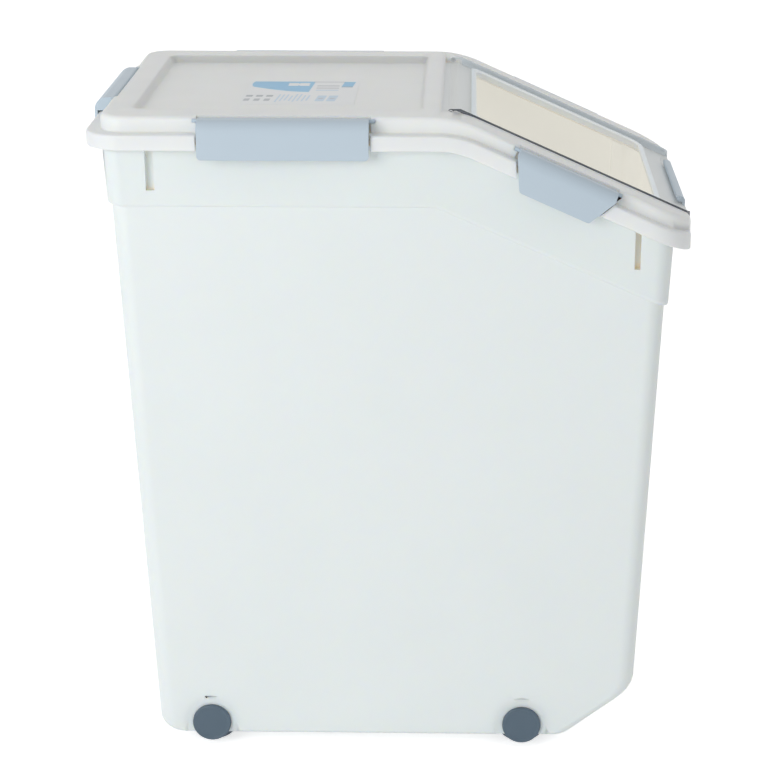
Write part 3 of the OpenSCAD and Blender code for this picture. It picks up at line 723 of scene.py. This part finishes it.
def lathe(
    name: str,
    profile: np.ndarray,
    centre: tuple[float, float, float],
    outward: int,
    segments: int = 120,
) -> Piece:
    """Turns a profile about an axis along Y.

    A profile point (r, h) at the angle t lies at centre + (r cos t, outward h, r sin t). A profile
    that starts and ends on the axis is closed there by a point each; any other is a loop round the
    axis. The UV map holds the turn from 0 to 1 and the way along the profile in metres.

    Args:
        name: the new piece's name.
        profile: rows of radius and height in millimetres.
        centre: the place of height 0 on the axis, in millimetres.
        outward: 1 where heights run towards +Y, and -1 where they run towards -Y.
        segments: how many steps make a whole turn.

    Returns:
        The new piece.
    """
    poled = profile[0, 0] < ON_AXIS and profile[-1, 0] < ON_AXIS
    walk = np.concatenate([[0.0], np.cumsum(np.linalg.norm(np.diff(profile, axis=0), axis=1))])
    rings, along = (profile[1:-1], walk[1:-1]) if poled else (profile, walk)
    turn = 2 * math.pi * np.arange(segments) / segments
    grid = np.empty((len(rings), segments, 3))
    grid[..., 0] = rings[:, :1] * np.cos(turn)
    grid[..., 1] = outward * rings[:, 1:]
    grid[..., 2] = rings[:, :1] * np.sin(turn)
    number = np.arange(len(rings) * segments).reshape(len(rings), segments)
    last = len(rings) - 1 if poled else len(rings)
    this, after = number[:last], number[(np.arange(last) + 1) % len(rings)]
    ahead = [np.roll(after, -1, axis=1), np.roll(this, -1, axis=1)]
    faces = np.stack([this, after, *ahead], axis=-1).reshape(-1, 4).tolist()
    points = grid.reshape(-1, 3)
    way = np.tile(along[:, None], (1, segments)).reshape(-1)
    if poled:
        ends = np.array([[0, outward * profile[0, 1], 0], [0, outward * profile[-1, 1], 0]])
        points = np.concatenate([points, ends])
        way = np.concatenate([way, [walk[0], walk[-1]]])
        first, final = len(points) - 2, len(points) - 1
        near = np.stack([np.full(segments, first), number[0], np.roll(number[0], -1)], axis=-1)
        far = np.stack([np.full(segments, final), np.roll(number[-1], -1), number[-1]], axis=-1)
        faces += near.tolist() + far.tolist()
    mesh = bpy.data.meshes.new(name)
    mesh.from_pydata(((points + np.asarray(centre)) * MM).tolist(), [], faces)
    corner = np.empty(len(mesh.loops), dtype=np.int64)
    mesh.loops.foreach_get("vertex_index", corner)
    around = np.append(np.tile(turn / (2 * math.pi), len(rings)), [0.0, 0.0] if poled else [])
    layer = mesh.uv_layers.new(name="turned")
    layer.data.foreach_set("uv", np.stack([around[corner], way[corner] * MM], axis=-1).ravel())
    outside = bmesh.new()
    outside.from_mesh(mesh)
    bmesh.ops.recalc_face_normals(outside, faces=outside.faces)
    outside.to_mesh(mesh)
    outside.free()
    return link_mesh(name, mesh)


# --- Sub-assemblies ---


@dataclass
class SubAssembly:
    """What every sub-assembly has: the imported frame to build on, and the pieces that it made."""

    frame: dict
    pieces: list = field(default_factory=list)

    def shell(
        self,
        node: str,
        name: str,
        body: str,
        finishes: Sequence[Finish],
        sharp_degrees: float = SEAL_SHARP,
    ) -> Piece:
        """Makes a smooth-shaded copy of a CAD node that stands for it.

        Args:
            node: the CAD node.
            name: the new piece's name.
            body: the CAD body that it rides on.
            finishes: one finish for each material slot.
            sharp_degrees: an edge that turns by more stays sharp.

        Returns:
            The new piece.
        """
        piece = merged_copy(self.frame["nodes"][node], name)
        dress(piece, finishes)
        even_normals(piece, sharp_degrees)
        self.settle(piece, body, node)
        return piece

    def settle(self, piece: Piece, body: str, *nodes: str) -> None:
        """Makes a piece ride on a body and stand for CAD nodes.

        Args:
            piece: the finished object.
            body: the CAD body that it rides on.
            *nodes: the CAD nodes that it stands for.
        """
        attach(piece, body)
        if nodes:
            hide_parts(*nodes)
        self.pieces.append(piece)

    def report(self) -> None:
        """Logs each piece that was made."""
        for piece in self.pieces:
            faces = len(piece.data.polygons)
            LOG.info("%s: %s, %d faces", type(self).__name__, piece.name, faces)


@dataclass
class StorageTub(SubAssembly):
    """The tall moulded tub.

    Attributes:
        top: the height of its flange's top.
        draft: how much its walls draw in for each unit of depth.
        rear: where the rear wall's outer skin would lie at the top.
        front: where the front wall's outer skin would lie at the top.
        side: half of its width there.
        skin: the depth that is surely inside the outer skin.
        wells: the height above which no wheel well reaches.
        facing: how far a normal has to point a way to face it.
    """

    top: float = 518.8
    draft: float = 0.041
    rear: float = -214.5
    front: float = 216.0
    side: float = 140.3
    skin: float = 1.3
    wells: float = 55.0
    facing: float = 0.5

    def build(self) -> None:
        """Makes the tub's shell, whose inner side gets a painted glow for light through the wall.
        """
        finishes = [TUB_POLYPROPYLENE, PAINTED_GLOW_INSIDE]
        tub = self.shell("tub", "tub_shell", Body.TUB.value, finishes, BIG_SHARP)
        normals, middles = face_table(tub)
        x, y, z = middles.T
        draw = self.draft * (self.top - z) + self.skin
        within = (np.abs(y) < self.side - draw) & (x > self.rear + draw) & (x < self.front - draw)
        inward = normals[:, 1] * np.sign(y) < self.facing
        # Inner faces get the painted glow finish.
        inside = within & inward & ((z > self.wells) | (normals[:, 2] > self.facing))
        tub.data.polygons.foreach_set("material_index", inside.astype(np.int32))


@dataclass
class BentLid(SubAssembly):
    """The bent lid with its recessed panel and the seal below it.

    Attributes:
        half_length: half of the length of what its skirt encloses.
        half_width: half of the width of what its skirt encloses.
        top: the height of the flat top.
        bend: where the flat top's plane meets the slope's plane, along X.
        fall: the slope's fall for each unit of length along X.
        seat_rear: where the clear cover's seat starts, along X.
        seat_half_width: half of the seat's width.
        seat_sunk: how far below the lid's top a face lies, at least, that belongs to the seat.
        seat_deep: how far below the lid's top such a face lies at most.
        down: a normal that points down by more belongs to the underside.
        up: a normal that points up by more belongs to the seat.
    """

    half_length: float = 226.5
    half_width: float = 149.0
    top: float = 535.5
    bend: float = 50.0
    fall: float = 0.4494
    seat_rear: float = 38.0
    seat_half_width: float = 113.0
    seat_sunk: float = 1.5
    seat_deep: float = 8.0
    down: float = 0.3
    up: float = 0.7

    def build(self) -> None:
        """Makes the lid's shell and its seal.

        Its underside gets a painted glow for light through the wall, and the clear cover's seat a
        painted glow for light through the cover. A face lies below the top by the depth of its
        middle under the flat top's or the slope's plane.
        """
        finishes = [LID_POLYPROPYLENE, PAINTED_GLOW_INSIDE, PAINTED_GLOW_SEAT]
        lid = self.shell("main_lid", "lid_shell", Body.LID.value, finishes, BIG_SHARP)
        normals, middles = face_table(lid)
        x, y, z = middles.T
        enclosed = (np.abs(x) < self.half_length) & (np.abs(y) < self.half_width)
        under = enclosed & (normals[:, 2] < -self.down)
        depth = self.top - self.fall * np.maximum(x - self.bend, 0) - z
        sunk = (depth > self.seat_sunk) & (depth < self.seat_deep)
        covered = (x > self.seat_rear) & (np.abs(y) < self.seat_half_width)
        seat = covered & sunk & (normals[:, 2] > self.up)
        # Undersides get the painted glow of the inside finish, and the seat the painted glow of its
        # own finish.
        finish = np.where(under, 1, np.where(seat, 2, 0))
        lid.data.polygons.foreach_set("material_index", finish.astype(np.int32))
        self.shell("lid_seal", "lid_seal_ring", Body.LID.value, [SEAL_RUBBER])


@dataclass
class ClearFlipCover(SubAssembly):
    """The clear flip cover, the painted shade on its near lip and the seal below it.

    Attributes:
        half_width: half of the cover's width.
        lip: how deep in from there the lip may reach, with the cover's rounded corners.
        sideways: a normal that points to a side by more belongs to the lip.
    """

    half_width: float = 110.0
    lip: float = 6.2
    sideways: float = 0.3

    def build(self) -> None:
        """Makes the cover and its seal."""
        finishes = [CLEAR_STYRENE, PAINTED_SHADE_EDGE, CLEAR_LIP]
        cover = self.shell("flip_cover", "clear_cover", Body.COVER.value, finishes, THIN_SHARP)
        self.paint_edge_shade(cover)
        self.shell("cover_seal", "cover_seal_ring", Body.COVER.value, [COVER_SEAL_RUBBER])

    def paint_edge_shade(self, cover: Piece) -> None:
        """Gives the lip its finishes: dark painted shade on the near side's outer faces, hazy
        elsewhere.

        A face belongs to the lip where its normal points sideways and its middle lies near the full
        half width.

        Args:
            cover: the cover's piece.
        """
        normals, middles = face_table(cover)
        y = middles[:, 1]
        outward = normals[:, 1] * np.sign(y)
        lip = np.abs(y) > self.half_width - self.lip
        # Painted shade: the near lip's outer faces get the dark finish.
        painted_shade_lip = (outward > self.sideways) & (y < 0)
        finish = np.where(lip & painted_shade_lip, 1, np.where(lip & (np.abs(outward) > self.sideways), 2, 0))
        cover.data.polygons.foreach_set("material_index", finish.astype(np.int32))


@dataclass
class SwingLatches(SubAssembly):
    """The six swing latches, each on a body of its own.

    Attributes:
        nodes: the latches' names, which are also their bodies' names.
    """

    nodes: tuple[str, ...] = (
        "side_latch_near",
        "side_latch_far",
        "slope_latch_near",
        "slope_latch_far",
        "rear_latch",
        "front_latch",
    )

    def build(self) -> None:
        """Makes each latch's shell."""
        for node in self.nodes:
            self.shell(node, f"{node}_plate", node, [SATIN_LATCH], THIN_SHARP)


@dataclass
class CastorSet(SubAssembly):
    """The four wheels with their hub caps and axles.

    Attributes:
        ends: the names of the two ends.
        sides: the names of the two sides, with the way that each faces along Y.
        wheel_r: the wheel's radius.
        tyre_round: the radius of the tread's shoulders.
        bore: the radius of the wheel's bore.
        hub_share: the hub's radius as a share of the wheel's.
        rim_share: the inner radius of the rim as a share of the wheel's.
        web_in: how far the wheel's web lies below its rim.
        web_draft: how far the web's side walls run in on the way down.
        bore_round: the rounding of the bore's ends.
        edge_round: the rounding of the hub's and the rim's edges.
        web_round: the rounding at the foot of the web's side walls.
        cap_round: the radius of the cap's rim.
        cap_dish: how deep the cap's face is dished inside its rim.
        cap_rim: how far in from the cap's edge its dish starts.
        cap_slope: the run of the dish's side wall.
        dish_round: the rounding at the foot of that wall.
        lip_round: the rounding at its top.
        back_round: the rounding of the cap's back edge.
    """

    ends: tuple[str, str] = ("rear", "front")
    sides: tuple[tuple[str, int], ...] = (("near", -1), ("far", 1))
    wheel_r: float = 22.0
    tyre_round: float = 1.6
    bore: float = 4.08
    hub_share: float = 0.36
    rim_share: float = 0.82
    web_in: float = 2.2
    web_draft: float = 0.4
    bore_round: float = 0.3
    edge_round: float = 0.4
    web_round: float = 0.5
    cap_round: float = 1.1
    cap_dish: float = 0.35
    cap_rim: float = 2.6
    cap_slope: float = 0.9
    dish_round: float = 0.8
    lip_round: float = 0.6
    back_round: float = 0.4

    def build(self) -> None:
        """Makes each corner's wheel and cap, and finishes its axle."""
        for end in self.ends:
            for side, outward in self.sides:
                self.wheel(f"wheel_{end}_{side}", outward)
                self.cap(f"hub_cap_{end}_{side}", outward)
                self.axle(f"axle_{end}_{side}")

    def wheel(self, node: str, outward: int) -> None:
        """A moulded wheel: rounded tread, a sunk web on both faces and a hub with its bore.

        Args:
            node: the CAD node that it stands for.
            outward: the way that it faces along Y.
        """
        low, high = (np.array(corner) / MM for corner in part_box(node))
        half = 0.5 * float(high[1] - low[1])
        hub, rim = self.hub_share * self.wheel_r, self.rim_share * self.wheel_r
        web = half - self.web_in
        lower_half = [
            (self.bore, -half, self.bore_round),
            (hub, -half, self.edge_round),
            (hub + self.web_draft, -web, self.web_round),
            (rim - self.web_draft, -web, self.web_round),
            (rim, -half, self.edge_round),
            (self.wheel_r, -half, self.tyre_round),
        ]
        rows = np.array(lower_half + [(r, -h, turn) for r, h, turn in reversed(lower_half)])
        profile = rounded_profile(rows[:, :2], rows[:, 2], closed=True)
        middle = tuple(float(v) for v in 0.5 * (low + high))
        piece = lathe(f"{node}_tyre", profile, middle, outward)
        dress(piece, [DARK_WHEEL])
        even_normals(piece, TURNED_SHARP)
        self.settle(piece, node, node)

    def cap(self, node: str, outward: int) -> None:
        """A moulded hub cap: a shallow dish inside a rounded rim, closed at the back.

        Args:
            node: the CAD node that it stands for.
            outward: the way that it faces along Y.
        """
        low, high = (np.array(corner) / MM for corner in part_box(node))
        radius, depth = 0.5 * float(high[0] - low[0]), float(high[1] - low[1])
        dish = radius - self.cap_rim
        corners = [
            (0.0, depth - self.cap_dish),
            (dish, depth - self.cap_dish),
            (dish + self.cap_slope, depth),
            (radius, depth),
            (radius, 0.0),
            (0.0, 0.0),
        ]
        rounds = [0, self.dish_round, self.lip_round, self.cap_round, self.back_round, 0]
        profile = rounded_profile(corners, rounds, closed=False)
        back = float(low[1] if outward > 0 else high[1])
        middle = (float(0.5 * (low[0] + high[0])), back, float(0.5 * (low[2] + high[2])))
        piece = lathe(f"{node}_disc", profile, middle, outward)
        dress(piece, [DARK_CAP])
        even_normals(piece, TURNED_SHARP)
        self.settle(piece, Body.TUB.value, node)

    def axle(self, node: str) -> None:
        """Gives the CAD axle its steel.

        Args:
            node: the CAD node.
        """
        dress(self.frame["nodes"][node], [AXLE_STEEL])
        self.pieces.append(self.frame["nodes"][node])


FILM_WHITE = "#EDF0F1"
SKY_INK = "#80C0E6"
PALE_INK = "#C6DBEC"
GREY_INK = "#B4B9BE"
DARK_INK = "#8E959C"


@dataclass(frozen=True)
class Bar:
    """A plain bar of the print.

    Attributes:
        u: its middle, from the film's left edge.
        v: its middle, from the film's far edge.
        width: its width.
        height: its length away from the far edge.
        ink: its colour.
        strength: how much its ink covers.
        slant: how far it leans to the left for each unit away from the far edge.
    """

    u: float
    v: float
    width: float
    height: float
    ink: str
    strength: float = 1.0
    slant: float = 0.12

    def distance(self, u: np.ndarray, v: np.ndarray) -> np.ndarray:
        """The larger of |u - u0 + slant (v - v0)| - width / 2 and |v - v0| - height / 2."""
        across = np.abs(u - self.u + self.slant * (v - self.v)) - self.width / 2
        return np.maximum(across, np.abs(v - self.v) - self.height / 2)


@dataclass(frozen=True)
class Sweep:
    """The print's light-blue sweep: straight on its far side, bowed on its near side, round-tipped.

    Attributes:
        far: its straight side, from the film's far edge.
        near: its bowed side at the tip, from there.
        bow: how much farther that side runs at its deepest.
        bow_from: where the bow starts, from the film's left edge.
        bow_run: the bow's length.
        end: where the sweep ends on the right, from the film's left edge.
        lean: how far that end leans to the left for each unit away from the far edge.
        tip_u: the middle of the tip's round, from the film's left edge.
        tip_v: the middle of the tip's round, from the film's far edge.
        tip_flat: how much that round is drawn out along Y, as its inverse.
        tip_r: the tip's radius.
    """

    far: float = 4.0
    near: float = 18.0
    bow: float = 15.0
    bow_from: float = 2.0
    bow_run: float = 50.0
    end: float = 53.0
    lean: float = 0.1
    tip_u: float = 12.0
    tip_v: float = 11.0
    tip_flat: float = 0.75
    tip_r: float = 10.0

    def distance(self, u: np.ndarray, v: np.ndarray) -> np.ndarray:
        """The largest of the distances past the straight side, the bow, the end and the tip."""
        bowed = np.sin(np.clip((u - self.bow_from) / self.bow_run, 0, 1) * math.pi / 2)
        tip = np.hypot(np.minimum(u - self.tip_u, 0), (v - self.tip_v) * self.tip_flat) - self.tip_r
        sides = [
            self.far - v,
            v - (self.near + self.bow * bowed),
            u - self.end + self.lean * v,
            np.where(u < self.tip_u, tip, -self.tip_r),
        ]
        return np.maximum.reduce(sides)


SWEEP = Sweep()
# A window in the sweep, whose two ends are rounds of a radius, each so far from the window's middle
WINDOW = Bar(40, 12, 17, 8, FILM_WHITE, slant=0.0)
WINDOW_ROUND, WINDOW_ROUND_OUT = 5.5, 5.0
# A caption's line, a block with a dark foot, three lines, three marks in two rows, a row of
# strokes and two blocks with a dash in each
BARS = (
    Bar(64, 5, 26, 1.6, GREY_INK),
    Bar(80, 12, 9, 15, SKY_INK),
    Bar(79.2, 18.6, 9, 2.4, DARK_INK, 0.7),
    Bar(64, 16, 18, 2.6, GREY_INK, 0.8),
    Bar(64, 22, 18, 2.6, GREY_INK, 0.8),
    Bar(64, 28, 18, 2.6, PALE_INK, 0.8),
    *(Bar(4 + 8 * i, 44, 5.2, 4.5, DARK_INK, 0.8) for i in range(3)),
    *(Bar(3 + 8 * i, 54, 4.6, 6, GREY_INK) for i in range(3)),
    *(Bar(27 + 3.4 * i, 50 - (i % 3), 1.3, 20 - 2 * (i % 4), PALE_INK) for i in range(8)),
    *(Bar(61 + 9 * i, 50, 7, 15, PALE_INK) for i in range(2)),
    *(Bar(61 + 9 * i, 50, 4, 3, GREY_INK, 0.7) for i in range(2)),
)


@dataclass
class PanelPrint(SubAssembly):
    """The printed film on the recessed panel: a sweep and rows of plain bars that say nothing.

    Attributes:
        left: where its left edge lies along X.
        width: its width along X.
        top: where its far edge lies along Y.
        height: its length along Y.
        stretch: how much its marks are drawn out along Y.
        floor_z: the panel's floor.
        thickness: the film's thickness.
        step: the spacing of its grid.
    """

    left: float = -118.5
    width: float = 88.0
    top: float = 31.0
    height: float = 100.0
    stretch: float = 1.5
    floor_z: float = 530.0
    thickness: float = 0.12
    step: float = 0.45

    def build(self) -> None:
        """Makes the film as a fine grid with its print as vertex colours."""
        across = np.arange(0, self.width + self.step / 2, self.step)
        down = np.arange(0, self.height + self.step / 2, self.step)
        u, v = np.meshgrid(across, down)
        level = np.full_like(u, self.floor_z + self.thickness)
        points = np.stack([self.left + u, self.top - v, level], axis=-1).reshape(-1, 3)
        number = np.arange(points.shape[0]).reshape(u.shape)
        quads = np.stack(
            [number[:-1, :-1], number[1:, :-1], number[1:, 1:], number[:-1, 1:]], axis=-1
        )
        mesh = bpy.data.meshes.new("panel_print_film")
        mesh.from_pydata((points * MM).tolist(), [], quads.reshape(-1, 4).tolist())
        inks = mesh.color_attributes.new("print", "FLOAT_COLOR", "POINT")
        inks.data.foreach_set("color", self.inks(u, v / self.stretch).ravel())
        piece = link_mesh("panel_print_film", mesh)
        dress(piece, [PANEL_PRINT])
        wall = piece.modifiers.new("film", "SOLIDIFY")
        wall.thickness = self.thickness * MM
        wall.offset = -1.0
        self.settle(piece, Body.LID.value)

    def inks(self, u: np.ndarray, v: np.ndarray) -> np.ndarray:
        """The print's colour at each grid point.

        Each mark is the set of points where a signed distance is below 0. Marks fade over one step
        of the grid, and each is laid over those before it.

        Args:
            u: distance from the left edge.
            v: distance from the far edge, before it is drawn out.

        Returns:
            Linear colour with alpha, one row for each point.
        """
        ends = np.hypot(np.abs(u - WINDOW.u) - WINDOW_ROUND_OUT, v - WINDOW.v) - WINDOW_ROUND
        marks = [
            (SWEEP.distance(u, v), SKY_INK, 1.0),
            (np.maximum(WINDOW.distance(u, v), ends), WINDOW.ink, WINDOW.strength),
            *((bar.distance(u, v), bar.ink, bar.strength) for bar in BARS),
        ]
        colour = np.tile(np.array(linear(FILM_WHITE)), (*u.shape, 1))
        for distance, ink, strength in marks:
            share = strength * np.clip(0.5 - distance / self.step, 0, 1)[..., None]
            colour = colour * (1 - share) + np.array(linear(ink)) * share
        return colour.reshape(-1, 4)


# --- Studio ---


@dataclass(frozen=True)
class SoftBox:
    """One soft lamp, aimed at the middle of the bin.

    Attributes:
        name: the lamp's name.
        place: where it hangs, in metres.
        width: its width in metres.
        height: its height in metres.
        watts: its power.
        colour: its light's colour.
    """

    name: str
    place: tuple[float, float, float]
    width: float
    height: float
    watts: float
    colour: str = "#FFFFFF"

    def hang(self, aim: tuple[float, float, float]) -> None:
        """Makes the lamp and turns it to a point.

        Args:
            aim: the point, in metres.
        """
        lamp = bpy.data.lights.new(self.name, "AREA")
        lamp.shape = "RECTANGLE"
        lamp.size, lamp.size_y = self.width, self.height
        lamp.energy = self.watts
        lamp.color = linear(self.colour)[:3]
        holder = bpy.data.objects.new(self.name, lamp)
        bpy.context.scene.collection.objects.link(holder)
        back = np.array(self.place) - np.array(aim)
        back /= np.linalg.norm(back)
        side = np.cross([0.0, 0.0, 1.0], back)
        side /= np.linalg.norm(side)
        up = np.cross(back, side)
        turned = np.eye(4)
        turned[:3, 0], turned[:3, 1], turned[:3, 2], turned[:3, 3] = side, up, back, self.place
        holder.matrix_world = Matrix(turned.tolist())


@dataclass
class Studio:
    """A white floor under soft lamps, with the camera where the photograph was taken.

    Attributes:
        eye: the camera's place in metres.
        look: the way that it looks.
        right: the way to the right of its picture.
        focal: its focal length for a 36 mm wide sensor.
        shift: the picture's sideways shift, as a share of its width.
        sensor: the width of that sensor.
        near, far: the distances between which it sees, in metres.
        aim: where the lamps point, in metres.
        lamps: the lamps.
        sky: the strength of the light from all round.
        floor_lift: the light added to the floor for the eye alone, so that it comes out white.
        floor_radius: the floor's radius in metres.
        floor_rings: how many rings of faces it has.
        floor_spokes: how many faces each ring has.
        fibre_mm: the width of the paper's fibres.
    """

    eye: tuple[float, float, float] = (0.0600, -1.7525, 0.8701)
    look: tuple[float, float, float] = (-0.0188, 0.9476, -0.3190)
    right: tuple[float, float, float] = (0.9998, 0.0198, 0.0)
    focal: float = 103.53
    shift: float = -0.0582
    sensor: float = 36.0
    near: float = 0.05
    far: float = 60.0
    aim: tuple[float, float, float] = (0.0, 0.0, 0.27)
    lamps: tuple[SoftBox, ...] = (
        SoftBox("key_lamp", (-1.35, -1.85, 0.95), 1.3, 1.3, 20.5),
        SoftBox("fill_lamp", (1.9, -1.3, 0.9), 1.3, 1.3, 2.0),
    )
    sky: float = 0.54
    floor_lift: float = 0.65
    floor_radius: float = 14.0
    floor_rings: int = 12
    floor_spokes: int = 64
    fibre_mm: float = 2.0

    def build(self) -> None:
        """Makes the camera, the lamps, the sky and the floor."""
        self.camera()
        for lamp in self.lamps:
            lamp.hang(self.aim)
        self.background()
        self.floor()
        bpy.context.scene.view_settings.view_transform = "Standard"

    def camera(self) -> None:
        """Sets the camera: its axes are right, up = right x look, and back = -look."""
        eye = bpy.data.cameras.new("photograph_camera")
        eye.sensor_width = self.sensor
        eye.lens = self.focal
        eye.shift_x = self.shift
        eye.clip_start, eye.clip_end = self.near, self.far
        holder = bpy.data.objects.new("photograph_camera", eye)
        bpy.context.scene.collection.objects.link(holder)
        ahead = np.array(self.look) / np.linalg.norm(self.look)
        side = np.array(self.right) - ahead * float(np.dot(self.right, ahead))
        side /= np.linalg.norm(side)
        placed = np.eye(4)
        placed[:3, 0], placed[:3, 1] = side, np.cross(side, ahead)
        placed[:3, 2], placed[:3, 3] = -ahead, self.eye
        holder.matrix_world = Matrix(placed.tolist())
        bpy.context.scene.camera = holder

    @staticmethod
    def seen_directly(tree: Tree) -> Socket:
        """1 for a ray from the eye, off gloss or through clear plastic, 0 for light on its way.

        Args:
            tree: the node tree that asks.

        Returns:
            The socket that holds it.
        """
        path = add_node(tree, "ShaderNodeLightPath").outputs
        seen = path["Is Camera Ray"]
        for ray in ("Is Glossy Ray", "Is Transmission Ray"):
            pair = {0: seen, 1: path[ray]}
            seen = add_node(tree, "ShaderNodeMath", pair, operation="MAXIMUM").outputs[0]
        return seen

    def background(self) -> None:
        """A world that is white to the eye and lights at the sky's strength."""
        world = bpy.data.worlds.new("studio_sky")
        bpy.context.scene.world = world
        world.use_nodes = True
        tree = world.node_tree
        strength = spread(tree, self.seen_directly(tree), self.sky, 1.0)
        white = linear("#FFFFFF")
        feed(tree, tree.nodes["Background"], {"Color": white, "Strength": strength})

    def floor(self) -> None:
        """A round floor, finer near the bin.

        A point at ring i of n and angle t lies at (R (i / n)^2 cos t, R (i / n)^2 sin t, 0).
        """
        rings, spokes = self.floor_rings, self.floor_spokes
        turn = 2 * math.pi * np.arange(spokes) / spokes
        reach = self.floor_radius * (np.arange(1, rings + 1) / rings) ** 2
        flat = [reach[:, None] * np.cos(turn), reach[:, None] * np.sin(turn)]
        grid = np.stack([*flat, np.zeros((rings, spokes))], axis=-1).reshape(-1, 3)
        number = np.arange(rings * spokes).reshape(rings, spokes)
        inner, outer = number[:-1], number[1:]
        ahead = [np.roll(outer, -1, axis=1), np.roll(inner, -1, axis=1)]
        quads = np.stack([inner, outer, *ahead], axis=-1).reshape(-1, 4)
        mesh = bpy.data.meshes.new("studio_floor")
        mesh.from_pydata(grid.tolist(), [], quads.tolist() + [number[0].tolist()])
        piece = link_mesh("studio_floor", mesh)
        paper = bpy.data.materials.new("matt_white_paper")
        paper.use_nodes = True
        tree = paper.node_tree
        fibre = noise(tree, piece_place(tree), self.fibre_mm, FINE_DETAIL)
        lift = {0: self.seen_directly(tree), 1: self.floor_lift}
        feed(
            tree,
            tree.nodes["Principled BSDF"],
            {
                "Base Color": blend(tree, fibre, linear("#F6F6F6"), linear("#F3F3F3")),
                "Roughness": 0.9,
                "Emission Color": linear("#FFFFFF"),
                "Emission Strength": add_node(
                    tree, "ShaderNodeMath", lift, operation="MULTIPLY"
                ).outputs[0],
            },
        )
        mesh.materials.append(paper)


def main() -> None:
    """Builds the studio and the sub-assemblies."""
    logging.basicConfig(level=logging.INFO, format="%(name)s: %(message)s")
    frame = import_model()
    Studio().build()
    for part in (StorageTub, BentLid, ClearFlipCover, SwingLatches, CastorSet, PanelPrint):
        made = part(frame)
        made.build()
        made.report()


if __name__ == "__main__":
    main()
